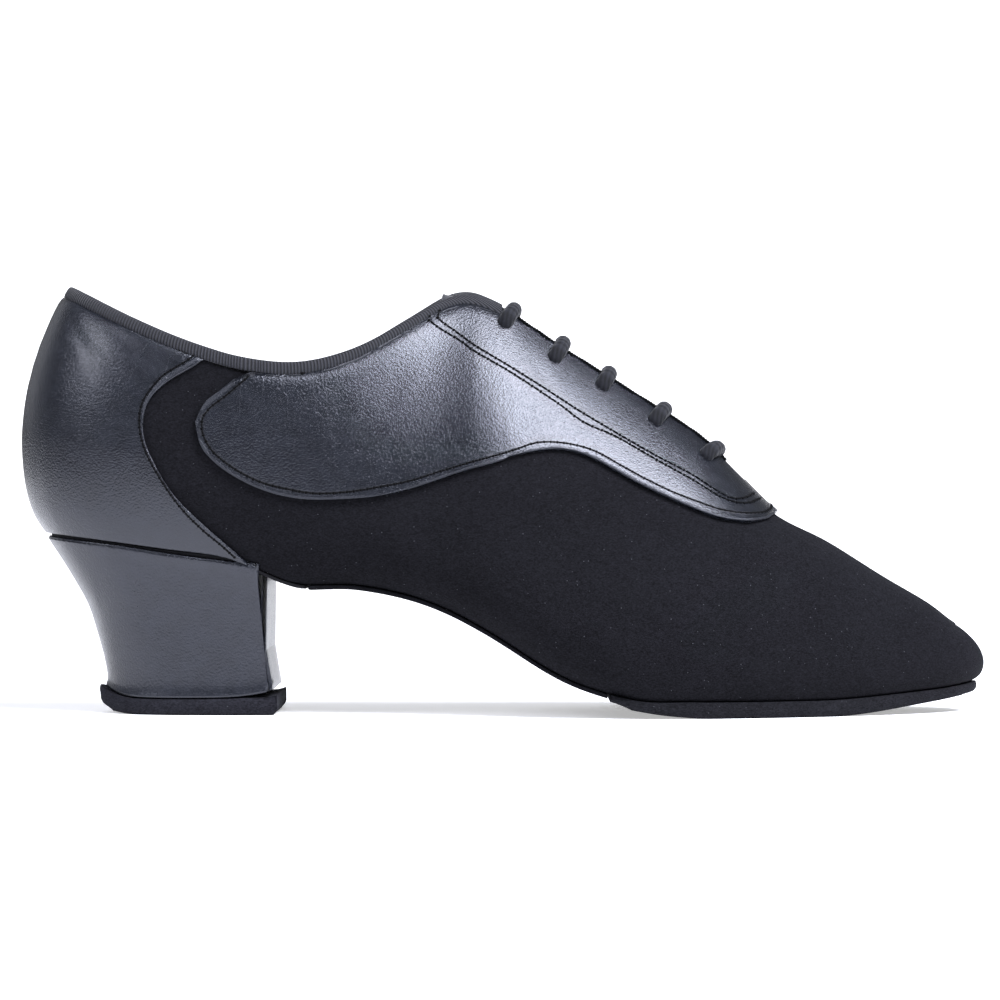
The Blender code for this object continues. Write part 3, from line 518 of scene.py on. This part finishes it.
def dense_line(line, step=0.8):
    """Points along a smooth curve through a table, about `step` millimetres apart."""
    knots = np.array(line, dtype=float)
    ends = np.vstack((2 * knots[0] - knots[1], knots, 2 * knots[-1] - knots[-2]))
    out = []
    for i in range(1, len(ends) - 2):
        a, b, c, d = ends[i - 1:i + 3]
        count = max(int(np.linalg.norm(c - b) / step), 1)
        out.extend(curve_point(a, b, c, d, t) for t in np.arange(count) / count)
    out.append(knots[-1])
    return np.array(out)


def inset(line, distance):
    """Line moved sideways by a distance in millimetres, to the left of its direction."""
    along = np.gradient(line, axis=0)
    along /= np.linalg.norm(along, axis=1)[:, None]
    return line + np.stack((-along[:, 1], along[:, 0]), axis=1) * distance


class Surface:
    """The finished outside of the shoe, for laying seams and laces on it."""

    def __init__(self, meshes):
        verts = []
        faces = []
        for mesh in meshes:
            start = len(verts)
            verts.extend(v.co.copy() for v in mesh.vertices)
            faces.extend([start + i for i in p.vertices] for p in mesh.polygons)
        self.tree = BVHTree.FromPolygons(verts, faces)

    def from_side(self, x, z, side):
        """Point and normal seen at x and z from the outer (-1) or inner (1) side."""
        eye = Vector((CAMERA_X, side * CAMERA_AWAY, CAMERA_HIGH))
        aim = Vector((x * MM, MIDDLE_Y if side > 0 else 0.0, z * MM))
        spot, normal, _, _ = self.tree.ray_cast(eye, (aim - eye).normalized())
        return spot, normal

    def from_top(self, x, y):
        """Point and normal met from above."""
        spot, normal, _, _ = self.tree.ray_cast(Vector((x, y, 0.3)), Vector((0.0, 0.0, -1.0)))
        return spot, normal

    def nearest(self, spot):
        """Closest point of the surface and its normal."""
        place, normal, _, _ = self.tree.find_nearest(spot)
        return place, normal

    def along(self, line, side):
        """Points and normals under a whole line, seen from one side."""
        hits = [self.from_side(x, z, side) for x, z in line]
        return [(p, n) for p, n in hits if p is not None]

    def over_ridge(self, line, bulge):
        """A line on the outer side, over the ridge in front and back along the inner side."""
        left = list(reversed(self.along(line, -1.0)))
        right = self.along(line, 1.0)
        a, b = left[-1][0], right[0][0]
        middle = []
        count = max(int((b - a).length / 0.0008), 4)
        for i in range(1, count):
            t = i / count
            x = a.x + (b.x - a.x) * t + bulge * 4.0 * t * (1.0 - t)
            spot, normal = self.from_top(x, a.y + (b.y - a.y) * t)
            if spot is not None:
                middle.append((spot, normal))
        return left + middle + right


def even_path(path, pitch):
    """Places at even distances along a path, each with its normal and direction."""
    places = [path[0][0]]
    lengths = [0.0]
    for (a, _), (b, _) in zip(path, path[1:]):
        lengths.append(lengths[-1] + (b - a).length)
        places.append(b)
    count = max(int(lengths[-1] / pitch), 1)
    xyz = np.array([tuple(p) for p in places])
    normals = np.array([tuple(n) for _, n in path])
    at = (np.arange(count) + 0.5) * lengths[-1] / count
    spots = np.stack([np.interp(at, lengths, xyz[:, k]) for k in range(3)], axis=1)
    facing = np.stack([np.interp(at, lengths, normals[:, k]) for k in range(3)], axis=1)
    ahead = np.stack([np.interp(at + 1e-4, lengths, xyz[:, k]) - np.interp(at - 1e-4, lengths, xyz[:, k])
                      for k in range(3)], axis=1)
    return [(Vector(s), Vector(n).normalized(), Vector(d).normalized())
            for s, n, d in zip(spots, facing, ahead)]


class Beads:
    """Many small rounded grains gathered into one mesh."""

    def __init__(self, around, rings):
        grain = bmesh.new()
        bmesh.ops.create_uvsphere(grain, u_segments=around, v_segments=rings, radius=1.0)
        grain.verts.ensure_lookup_table()
        self.shape = np.array([v.co for v in grain.verts])
        self.faces = [[v.index for v in f.verts] for f in grain.faces]
        grain.free()
        self.places = []

    def add(self, spot, ahead, up, half_sizes):
        """Places one grain, turned along its path."""
        across = up.cross(ahead).normalized()
        up = ahead.cross(across)
        turn = np.array((ahead, across, up)) * np.array(half_sizes)[:, None]
        self.places.append(self.shape @ turn + np.array(spot))

    def mesh(self, name):
        """All the grains as one mesh."""
        count = len(self.shape)
        faces = [[k * count + i for i in face] for k in range(len(self.places)) for face in self.faces]
        mesh = bpy.data.meshes.new(name)
        mesh.from_pydata(np.concatenate(self.places).tolist(), [], faces)
        mesh.shade_smooth()
        return mesh


def sew(thread, holes, path, pitch, width):
    """A row of stitches: rounded threads, with dark beads of painted shade for the needle holes between
    them.
    """
    for spot, normal, ahead in even_path(path, pitch):
        thread.add(spot + normal * width * 0.10, ahead, normal, (pitch * 0.37, width * 0.5, width * 0.42))
        holes.add(spot + ahead * pitch * 0.5 + normal * width * 0.12, ahead, normal,
                  (width * 0.72, width * 0.85, width * 0.32))


def signed_field(points, path, reach=0.060):
    """Distance in millimetres from a sewn row, negative on its other side, up to a reach."""
    line = np.array([tuple(p) for p, _ in path])
    facing = np.array([tuple(n) for _, n in path])
    field = np.full(len(points), reach * 1000)
    inside = (points > line.min(axis=0) - reach) & (points < line.max(axis=0) + reach)
    near = np.where(np.all(inside, axis=1))[0]
    a = line[:-1]
    b = line[1:] - a
    square = np.maximum((b ** 2).sum(axis=1), 1e-12)
    sideways = np.cross(facing[:-1], b)
    for start in range(0, len(near), 4000):
        block = near[start:start + 4000]
        offset = points[block][:, None, :] - a[None]
        t = np.clip((offset * b[None]).sum(axis=2) / square, 0.0, 1.0)
        away = offset - t[:, :, None] * b[None]
        gap = np.linalg.norm(away, axis=2)
        best = gap.argmin(axis=1)
        rows = np.arange(len(block))
        sign = np.sign((away[rows, best] * sideways[best]).sum(axis=1))
        field[block] = np.minimum(gap[rows, best] * 1000, reach * 1000) * np.where(sign == 0.0, 1.0, sign)
    return field


def close_gap(mesh, neighbour, gap=0.00075, reach=0.0024):
    """Draws the rim of a leather piece up to its neighbour, fading away from the rim."""
    tree = BVHTree.FromPolygons([v.co.copy() for v in neighbour.vertices],
                                [p.vertices[:] for p in neighbour.polygons])
    for vert in mesh.vertices:
        spot, _, _, distance = tree.find_nearest(vert.co, reach)
        if spot is not None and distance > 1e-6:
            share = min((reach - distance) / (reach - gap), 1.0)
            move = min(distance - 0.00005, (gap - 0.00005) * share)
            if move > 0.0:
                vert.co += (spot - vert.co) * (move / distance)


def press_creases(mesh, strength=1.0):
    """Moves the surface in and out along the crease table, as soft troughs with a ridge on each side."""
    points = points_of(mesh)
    normals = normals_of(mesh)
    move = np.zeros(len(points))
    for x, z, turn, length, width, depth in CREASES:
        angle = math.radians(turn)
        along = (points[:, 0] / MM - x) * math.cos(angle) + (points[:, 2] / MM - z) * math.sin(angle)
        across = (points[:, 2] / MM - z) * math.cos(angle) - (points[:, 0] / MM - x) * math.sin(angle)
        across = across + 0.08 * along ** 2 / length
        fade = np.exp(-(along / (0.42 * length)) ** 2)
        ring = (across / width) ** 2
        move -= depth * fade * (1.0 - 1.2 * ring) * np.exp(-ring)
    points += normals * (move * strength * MM)[:, None]
    set_points(mesh, points)


def wrinkle_field(points):
    """How much each point of the leather is finely wrinkled, 0 to 1."""
    x = points[:, 0] / MM
    z = points[:, 2] / MM

    def patch(cx, cz, rx, rz):
        return np.exp(-((x - cx) / rx) ** 2 - ((z - cz) / rz) ** 2)

    field = 0.9 * patch(-108, 104, 22, 16) + 0.8 * patch(-24, 92, 24, 18) + 0.45 * patch(-60, 84, 22, 14)
    field += 0.35 * patch(48, 74, 22, 12) + 0.18
    return np.clip(field, 0.0, 1.0)


# Meshes and places that a later step needs from an earlier one
store = {}


def settings():
    """The sizes and colours that the user set."""
    return bpy.context.scene.shoe_look


class SHOE_OT_upper(bpy.types.Operator):
    """Suede body of the shoe with its leather lining"""
    bl_idname = "shoe.upper"
    bl_label = "Suede upper"

    def execute(self, context):
        mesh = smooth_copy("upper", settings().edge_round, 2)
        press_creases(mesh, 0.8)
        # Split calf, buffed: a deep matt black with a short nap and specks of lint
        suede = suede_material("upper_buffed_suede", settings().suede_colour)
        # Undressed glove leather: greyer than the outside, with only a dim gloss
        lining = leather_material("lining_glove_leather", settings().lining_colour, 0.55, 0.3, False)
        set_attribute(mesh, "wrinkle", wrinkle_field(points_of(mesh)))
        piece = link_piece("suede_upper", mesh, [suede, lining])
        inner_faces(mesh)
        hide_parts("upper")
        store["upper"] = mesh
        return {"FINISHED"}


def inner_faces(mesh):
    """Gives the lining to the faces that look towards the middle of the hollow."""
    line = np.array(HOLLOW_LINE) * MM
    for polygon in mesh.polygons:
        centre = polygon.center
        x = min(max(centre.x, line[0, 0]), line[-1, 0])
        core = Vector((x, MIDDLE_Y, float(np.interp(x, line[:, 0], line[:, 1]))))
        polygon.material_index = 1 if polygon.normal.dot(core - centre) > 0.0 else 0


class SHOE_OT_overlays(bpy.types.Operator):
    """Smooth leather counter and eyestay overlays with their stitching"""
    bl_idname = "shoe.overlays"
    bl_label = "Leather overlays"

    def execute(self, context):
        look = settings()
        counter = smooth_copy("counter_overlay", look.edge_round, look.fine_levels)
        eyestay = smooth_copy("eyestay_overlay", look.edge_round, look.fine_levels - 1)
        for mesh in (counter, eyestay):
            close_gap(mesh, store["binding"])
            press_creases(mesh)
        outside = Surface([store["upper"], counter, eyestay])
        store["outside"] = outside
        eyestay_edge = dense_line(EYESTAY_LINE)
        counter_edge = dense_line(COUNTER_LINE)
        edge_path = outside.over_ridge(inset(eyestay_edge, -CUT_INSET), 0.0006)
        seam_path = outside.over_ridge(inset(eyestay_edge, -EYESTAY_SEAM_INSET), 0.0010)
        upper_row = outside.over_ridge(dense_line(FACING_ROW_UPPER), 0.0026)
        lower_row = outside.over_ridge(dense_line(FACING_ROW_LOWER), 0.0030)
        counter_edges, counter_seams = (
            [outside.along(inset(counter_edge, -distance), side) for side in (-1.0, 1.0)]
            for distance in (CUT_INSET, COUNTER_SEAM_INSET))
        top_row = [outside.nearest(spot) for spot in store["rim"]]
        for mesh, edges in ((eyestay, [edge_path]), (counter, counter_edges)):
            points = points_of(mesh)
            nearest = np.min([np.abs(signed_field(points, path, 0.006)) for path in edges], axis=0)
            share = EYESTAY_SEAM_INSET / COUNTER_SEAM_INSET if mesh is counter else 1.0
            set_attribute(mesh, "edge", nearest * share)
            set_attribute(mesh, "row_top", signed_field(points, top_row))
            for name, row in (("row_upper", upper_row), ("row_lower", lower_row)):
                set_attribute(mesh, name, signed_field(points, row))
            set_attribute(mesh, "wrinkle", wrinkle_field(points))
        # Polished calf: broad bluish lights broken up by fine grain
        leather = leather_material("overlay_polished_calf", look.leather_colour)
        for mesh, name, node in ((counter, "counter_leather", "counter_overlay"),
                                 (eyestay, "eyestay_leather", "eyestay_overlay")):
            piece = link_piece(name, mesh, [leather])
            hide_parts(node)
        # Waxed sewing thread: small dull black dashes
        thread = plain_material("thread_waxed_polyester", look.thread_colour, 0.9, 0.0002)
        sewn = Beads(8, 6)
        holes = Beads(8, 5)
        rows = [(seam_path, look.stitch_pitch, 1.0), (upper_row, look.facing_pitch, 1.1),
                (lower_row, look.facing_pitch, 1.1), (top_row, look.stitch_pitch, 1.0)]
        rows += [(row, look.stitch_pitch, 1.0) for row in counter_seams]
        for row, pitch, share in rows:
            sew(sewn, holes, row, pitch, look.thread_width * share)
        for side in (-1.0, 1.0):
            for spot, normal, ahead in even_path(facing_edge(outside, side), WHIP_PITCH):
                sewn.add(spot + normal * 0.0002, ahead, normal, (0.00056, 0.00055, 0.00044))
        # Needle holes: black beads of painted shade in the gaps that set the stitches apart
        hole_shade = plain_material("needle_hole_shadow", linear("040405"), 1.0)
        link_piece("needle_hole_shade", holes.mesh("needle_hole_shade"), [hole_shade])
        link_piece("stitching", sewn.mesh("stitching"), [thread])
        return {"FINISHED"}


def facing_edge(outside, side):
    """The crest of the facing beside the tongue gap, found from above."""
    path = []
    for x in CREST_ALONG:
        spots = [outside.from_top(x * MM, MIDDLE_Y + side * y * MM) for y in CREST_ACROSS]
        spots = [(spot, normal) for spot, normal in spots if spot is not None and spot.z > CREST_LOWEST]
        if spots:
            path.append(max(spots, key=lambda pair: pair[0].z))
    return path


class SHOE_OT_binding(bpy.types.Operator):
    """Ribbed tape folded over the top line"""
    bl_idname = "shoe.binding"
    bl_label = "Top line binding"

    def execute(self, context):
        mesh = smooth_copy("topline_binding", 0.0, 2)
        points = points_of(mesh)
        centre = np.array((COLLAR_MIDDLE_X, MIDDLE_Y))
        angle = np.arctan2(points[:, 1] - centre[1], -(points[:, 0] - centre[0]))
        bins = np.linspace(-math.pi, math.pi, 241)
        slots = np.digitize(angle, bins)
        line = []
        for k in range(1, len(bins)):
            inside = points[slots == k]
            if len(inside):
                line.append((0.5 * (bins[k - 1] + bins[k]), *inside.mean(axis=0)))
        line = np.array(line)
        for _ in range(3):
            line[1:-1, 1:] = 0.25 * line[:-2, 1:] + 0.5 * line[1:-1, 1:] + 0.25 * line[2:, 1:]
        steps = np.linalg.norm(np.diff(line[:, 1:], axis=0), axis=1)
        lengths = np.concatenate(((0.0,), np.cumsum(steps)))
        set_attribute(mesh, "along", np.interp(angle, line[:, 0], lengths))
        store["binding"] = mesh
        store["rim"] = lower_rim(points, slots, len(bins), centre)
        piece = link_piece("ribbed_binding", mesh, [tape_material(settings().tape_colour)])
        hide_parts("topline_binding")
        return {"FINISHED"}


def lower_rim(points, slots, count, centre):
    """Places just under the outer lower edge of the tape, in order round the collar."""
    rim = []
    for k in range(1, count):
        near = points[slots == k]
        if len(near) == 0:
            continue
        out = np.linalg.norm(near[:, :2] - centre, axis=1)
        outer = near[out > np.median(out)]
        low = outer[outer[:, 2].argmin()]
        top = near[near[:, 2].argmax()]
        rim.append(low + (low - top) / np.linalg.norm(low - top) * 0.00040)
    rim = np.array(rim)
    for _ in range(4):
        rim[1:-1] = 0.25 * rim[:-2] + 0.5 * rim[1:-1] + 0.25 * rim[2:]
    return [Vector(spot) for spot in rim]


class SHOE_OT_inside(bpy.types.Operator):
    """Tongue under the laces and the insole"""
    bl_idname = "shoe.inside"
    bl_label = "Tongue and insole"

    def execute(self, context):
        look = settings()
        tongue = smooth_copy("tongue", look.edge_round, 2)
        points = points_of(tongue)
        points[:, 2] -= 0.0015 * soft_step((0.004 - points[:, 0]) / 0.014)
        set_points(tongue, points)
        set_attribute(tongue, "wrinkle", np.full(len(tongue.vertices), 0.3))
        # Soft unlined leather: duller than the overlays, slightly wrinkled
        leather = leather_material("tongue_soft_leather", look.tongue_colour, 0.5, 0.5, False)
        # Raw cut edge: the pale core of the leather
        cut = plain_material("tongue_cut_edge", look.cut_colour, 0.9)
        piece = link_piece("soft_tongue", tongue, [leather, cut])
        for polygon in tongue.polygons:
            if polygon.normal.x < -0.75 and polygon.center.z > 0.108 and polygon.area < 2.5e-6:
                polygon.material_index = 1
        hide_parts("tongue")
        insole = smooth_copy("insole", look.edge_round, 1)
        set_attribute(insole, "wrinkle", np.full(len(insole.vertices), 0.2))
        # Thin sock leather, unpolished: an even dark grey floor
        sock = leather_material("insole_sock_leather", look.sock_colour, 0.6, 0.3, False)
        piece = link_piece("insole_sock", insole, [sock])
        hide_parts("insole")
        return {"FINISHED"}


class SHOE_OT_soles(bpy.types.Operator):
    """Suede forepart sole, waist cover and rear sole"""
    bl_idname = "shoe.soles"
    bl_label = "Soles"

    def execute(self, context):
        look = settings()
        # Chrome tanned sole suede: a longer nap than the upper
        suede = suede_material("sole_chrome_suede", look.sole_colour, 1.5)
        # The upper's buffed suede, drawn over the waist: as matt and black as the vamp
        cover = suede_material("waist_buffed_suede", look.suede_colour)
        # Edge dyed with black ink and left unpolished: an even, dull line
        rim = plain_material("seat_edge_black_dye", look.rim_colour, 0.7)
        for name, node, rounding, levels, material in (
                ("forepart_suede_sole", "forepart_sole", 0.0005, 2, suede),
                ("waist_suede_cover", "waist_cover", look.edge_round, 2, cover),
                ("rear_sole_rim", "heel_seat_sole", 0.0002, 2, rim)):
            mesh = smooth_copy(node, rounding, levels)
            piece = link_piece(name, mesh, [material])
            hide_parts(node)
        return {"FINISHED"}


def soft_step(share):
    """Share of 0 to 1 eased at both ends."""
    share = np.clip(share, 0.0, 1.0)
    return share * share * (3.0 - 2.0 * share)


def column_pick(x, z, start, width, pick):
    """For every point, the z picked from all the points in its narrow column along x."""
    slots = ((x - start) / width).astype(int)
    picked = {slot: pick(z[slots == slot]) for slot in np.unique(slots)}
    return np.array([picked[slot] for slot in slots])


def draw_up_cover(mesh):
    """Draws the heel's cover leather up to the seat line and forward to the edge of the breast."""
    points = points_of(mesh)
    x, z = points[:, 0] / MM, points[:, 2] / MM
    tops = column_pick(x, z, -130.0, 1.5, np.max)
    near_top = soft_step(1.0 - (tops - z) / 3.2)
    rim = np.array(HEEL_RIM)
    lift = (np.interp(x, rim[:, 0], rim[:, 1]) - tops) * near_top
    forward = soft_step(1.0 - (np.interp(z, (5.0, 40.0), (-65.9, -69.9)) - x) / 6.0)
    forward = forward * np.interp(z, (5.0, 40.0), (0.2, 1.7))
    out = normals_of(mesh)[:, :2] * (0.55 * near_top)[:, None]
    points += np.stack((forward + out[:, 0], out[:, 1], lift), axis=1) * MM
    set_points(mesh, points)


def set_back_breast(mesh):
    """Leans the breast strip back towards its top."""
    points = points_of(mesh)
    points[:, 0] -= np.clip((points[:, 2] / MM - 5.0) / 35.0, 0.0, 1.0) * 0.8 * MM
    set_points(mesh, points)


def blunt_tip(mesh):
    """Squares the ends of the suede top piece, as it is cut and buffed."""
    points = points_of(mesh)
    x, z = points[:, 0] / MM, points[:, 2] / MM
    low = column_pick(x, z, -115.0, 1.0, np.min)
    high = column_pick(x, z, -115.0, 1.0, np.max)
    share = (z - low) / np.maximum(high - low, 0.5)
    back = soft_step((-107.0 - x) / 6.0) * soft_step((6.0 - z) / 4.0)
    front = soft_step((x + 74.0) / 10.0)
    points[:, 0] -= (back * 0.9 + soft_step((x + 65.0) / 4.0) * 0.8) * MM
    points[:, 2] = np.maximum(z - front * (3.0 - 1.9 * share), 0.05 * (z > 0.05)) * MM
    set_points(mesh, points)


class SHOE_OT_heel(bpy.types.Operator):
    """Leather covered heel with its breast strip and suede top piece"""
    bl_idname = "shoe.heel"
    bl_label = "Heel"

    def execute(self, context):
        look = settings()
        # Calf stretched over the heel: hardly wrinkled, and a little duller than the overlays
        leather = leather_material("heel_cover_calf", look.heel_colour, 0.30, 0.15, False)
        # Thick top piece suede: coarse nap, greyed by wear
        suede = suede_material("heel_top_suede", look.tip_colour, 1.8)
        for name, node, rounding, levels, material in (
                ("covered_heel", "heel_block", 0.0006, 3, leather),
                ("heel_breast_strip", "heel_breast_cover", 0.0003, 2, leather),
                ("suede_heel_tip", "heel_tip", 0.0006, 3, suede)):
            mesh = smooth_copy(node, rounding, levels)
            if node == "heel_block":
                draw_up_cover(mesh)
            elif node == "heel_tip":
                blunt_tip(mesh)
            else:
                set_back_breast(mesh)
            set_attribute(mesh, "wrinkle", np.full(len(mesh.vertices), 0.25))
            piece = link_piece(name, mesh, [material])
            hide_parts(node)
        return {"FINISHED"}


class SHOE_OT_laces(bpy.types.Operator):
    """Five straight runs of braided lace through punched holes"""
    bl_idname = "shoe.laces"
    bl_label = "Laces"

    def execute(self, context):
        look = settings()
        outside = store["outside"]
        cord = cord_material(look.lace_colour)
        # Punched holes: flat black discs of painted shade round the ends of the lace
        punched_shade = plain_material("punched_hole_shadow", linear("08080a"), 0.9)
        holes = bmesh.new()
        for number, (x, z) in enumerate(LACE_HOLES, 1):
            ends = [outside.from_side(x, z, side) for side in (-1.0, 1.0)]
            for spot, normal in ends:
                turn = normal.to_track_quat("Z", "Y").to_matrix().to_4x4()
                bmesh.ops.create_cone(holes, cap_ends=True, segments=24, radius1=HOLE_RADIUS,
                                      radius2=HOLE_RADIUS - 0.0003, depth=0.0002,
                                      matrix=Matrix.Translation(spot + normal * 0.00005) @ turn)
            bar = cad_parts["lace_bar_%d" % number]
            mesh = lace_run(outside, bar, ends, look.lace_width)
            piece = link_piece("lace_run_%d" % number, mesh, [cord])
            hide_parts("lace_bar_%d" % number)
        mesh = bpy.data.meshes.new("lace_hole_shade")
        holes.to_mesh(mesh)
        holes.free()
        link_piece("lace_hole_shade", mesh, [punched_shade])
        return {"FINISHED"}


def lace_run(outside, bar, ends, width):
    """Tube from the hole on one side over the facing edges to the hole on the other."""
    corners = [bar.matrix_world @ v.co for v in bar.data.vertices]
    middle = sum(corners, Vector()) / len(corners)
    half = width * 0.5
    front = middle.x + 0.0007
    knots = []
    for (spot, normal), sign in zip(ends, (-1.0, 1.0)):
        reach = Vector((front, middle.y + sign * 0.0066, middle.z - 0.0016))
        over = (spot + normal * half * 0.70 + reach) * 0.5 + normal * half * 0.32
        knots.append([spot - normal * half * 1.5, spot + normal * half * 0.36, over, reach])
    line = knots[0] + [Vector((front, middle.y, middle.z - 0.0012))] + list(reversed(knots[1]))
    path = spline_points(line, 12)
    mesh = bmesh.new()
    vectors = mesh.verts.layers.float_vector.new("path")
    rings = []
    travelled = 0.0
    for i, spot in enumerate(path):
        if i:
            travelled += (spot - path[i - 1]).length
        ahead = (path[min(i + 1, len(path) - 1)] - path[max(i - 1, 0)]).normalized()
        side = ahead.cross(Vector((1.0, 0.0, 0.0))).normalized()
        up = side.cross(ahead).normalized()
        turn = Matrix((side, up, ahead)).transposed().to_4x4()
        ring = bmesh.ops.create_circle(mesh, segments=LACE_SIDES, radius=half,
                                       matrix=Matrix.Translation(spot) @ turn)
        verts = ring["verts"]
        for vert in verts:
            out = vert.co - spot
            angle = math.atan2(out.dot(up), out.dot(side))
            turns = travelled * 2.0 * math.pi / BRAID_PITCH
            wave = math.sin(BRAID_STRANDS * angle + turns) * math.sin(BRAID_STRANDS * angle - turns)
            vert.co = spot + out * (1.0 + BRAID_HEIGHT * wave)
            vert[vectors] = (math.cos(angle), math.sin(angle), travelled)
        rings.append(verts)
    for a, b in zip(rings, rings[1:]):
        edges = [e for e in mesh.edges if (e.verts[0] in a and e.verts[1] in a)
                 or (e.verts[0] in b and e.verts[1] in b)]
        bmesh.ops.bridge_loops(mesh, edges=edges)
    for ring in (rings[0], rings[-1]):
        bmesh.ops.contextual_create(mesh, geom=ring)
    bmesh.ops.recalc_face_normals(mesh, faces=mesh.faces)
    data = bpy.data.meshes.new("lace")
    mesh.to_mesh(data)
    mesh.free()
    data.shade_smooth()
    return data


def spline_points(knots, count):
    """Smooth points through some places in space."""
    ends = [knots[0] * 2 - knots[1]] + knots + [knots[-1] * 2 - knots[-2]]
    out = []
    for i in range(1, len(ends) - 2):
        out.extend(curve_point(*ends[i - 1:i + 3], k / count) for k in range(count))
    return out + [knots[-1]]


class SHOE_OT_stage(bpy.types.Operator):
    """White sweep, soft boxes and the camera at the photo's angle"""
    bl_idname = "shoe.stage"
    bl_label = "Studio"

    def execute(self, context):
        scene = context.scene
        sweep = bmesh.new()
        bmesh.ops.create_grid(sweep, x_segments=1, y_segments=1, size=1.0,
                              matrix=Matrix.Diagonal((SWEEP_WIDTH, SWEEP_DEPTH, 1.0, 1.0)))
        back = [e for e in sweep.edges if all(v.co.y > 0.9 * SWEEP_DEPTH for v in e.verts)]
        bmesh.ops.spin(sweep, geom=back, cent=(0.0, SWEEP_DEPTH, SWEEP_CURVE), axis=(1.0, 0.0, 0.0),
                       angle=math.pi / 2, steps=20, use_merge=False)
        top = [e for e in sweep.edges if all(v.co.z > 0.99 * SWEEP_CURVE for v in e.verts)]
        raised = bmesh.ops.extrude_edge_only(sweep, edges=top)["geom"]
        bmesh.ops.translate(sweep, verts=[g for g in raised if isinstance(g, bmesh.types.BMVert)],
                            vec=(0.0, 0.0, SWEEP_RISE))
        bmesh.ops.recalc_face_normals(sweep, faces=sweep.faces)
        data = bpy.data.meshes.new("studio_sweep")
        sweep.to_mesh(data)
        sweep.free()
        data.shade_smooth()
        floor = bpy.data.objects.new("studio_sweep", data)
        scene.collection.objects.link(floor)
        # Matt white sweep that glows by itself as painted light: the glow is weaker near the shoe, and the
        # sides are darker grey with a weaker glow so that they mirror dark in the leather
        glowing_sweep, tree, shader = new_material("sweep_glowing_white")
        place = add_node(tree, "TexCoord", output="Object")
        away = add_node(tree, "VectorMath", (place,), output="Value", operation="LENGTH")
        aside = add_node(tree, "Math", (add_node(tree, "SeparateXYZ", (place,)),), operation="ABSOLUTE")
        near = add_node(tree, "MapRange", (away, 0.3, 1.3, 0.42, 1.0), interpolation_type="SMOOTHSTEP")
        middle = add_node(tree, "MapRange", (aside, 0.5, 1.0, 1.0, 0.12), interpolation_type="SMOOTHSTEP")
        sides = add_node(tree, "MapRange", (aside, 0.5, 0.95, 0.0, 1.0), interpolation_type="SMOOTHSTEP")
        feed(tree, shader, {
            "Base Color": add_node(tree, "Mix", {0: sides, 6: linear("f4f4f6"), 7: linear("3c3c40")},
                                   output=2, data_type="RGBA"),
            "Roughness": 0.55, "Specular IOR Level": 0.15, "Emission Color": linear("ffffff"),
            "Emission Strength": add_node(tree, "Math", (near, middle), operation="MULTIPLY")})
        data.materials.append(glowing_sweep)
        world = bpy.data.worlds.new("studio_world")
        world.use_nodes = True
        world.node_tree.nodes["Background"].inputs["Color"].default_value = linear("e4ebff")
        world.node_tree.nodes["Background"].inputs["Strength"].default_value = SKY_STRENGTH
        scene.world = world
        scene.view_settings.view_transform = "Standard"
        for name, place, aim, size, power in LAMPS:
            lamp = bpy.data.lights.new(name, "AREA")
            lamp.shape = "RECTANGLE"
            lamp.size = size[0]
            lamp.size_y = size[1]
            lamp.energy = power
            lamp.color = linear("f4f6ff")[:3]
            box = bpy.data.objects.new(name, lamp)
            box.location = place
            box.rotation_euler = (Vector(aim) - Vector(place)).to_track_quat("-Z", "Y").to_euler()
            scene.collection.objects.link(box)
        lens = bpy.data.cameras.new("photo_camera")
        lens.sensor_width = 36.0
        lens.lens = 36.0 * CAMERA_AWAY / FRAME_WIDTH
        lens.clip_start = 0.05
        lens.clip_end = 20.0
        camera = bpy.data.objects.new("photo_camera", lens)
        camera.location = (CAMERA_X, -CAMERA_AWAY, CAMERA_HIGH)
        camera.rotation_euler = (math.pi / 2, 0.0, 0.0)
        scene.collection.objects.link(camera)
        scene.camera = camera
        return {"FINISHED"}


class SHOE_PT_panel(bpy.types.Panel):
    """Lists the pieces of the shoe's looks"""
    bl_idname = "SHOE_PT_panel"
    bl_label = "Ballroom dance shoe"
    bl_space_type = "VIEW_3D"
    bl_region_type = "UI"
    bl_category = "Shoe"

    def draw(self, context):
        look = context.scene.shoe_look
        for name in ShoeLookSettings.__annotations__:
            self.layout.prop(look, name)
        for operator in OPERATORS:
            self.layout.operator(operator.bl_idname)


OPERATORS = (SHOE_OT_upper, SHOE_OT_binding, SHOE_OT_overlays, SHOE_OT_inside, SHOE_OT_soles, SHOE_OT_heel,
             SHOE_OT_laces, SHOE_OT_stage)
CLASSES = (ShoeLookSettings, *OPERATORS, SHOE_PT_panel)


def register():
    """Adds the classes and the settings to Blender."""
    for item in CLASSES:
        bpy.utils.register_class(item)
    bpy.types.Scene.shoe_look = bpy.props.PointerProperty(type=ShoeLookSettings)


def unregister():
    """Takes the classes and the settings out again."""
    del bpy.types.Scene.shoe_look
    for item in reversed(CLASSES):
        bpy.utils.unregister_class(item)


def main():
    """Builds every piece in order."""
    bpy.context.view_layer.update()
    register()
    for operator in OPERATORS:
        group, name = operator.bl_idname.split(".")
        if getattr(getattr(bpy.ops, group), name)() != {"FINISHED"}:
            raise RuntimeError("this step did not finish: " + operator.bl_idname)


if __name__ == "__main__":
    main()
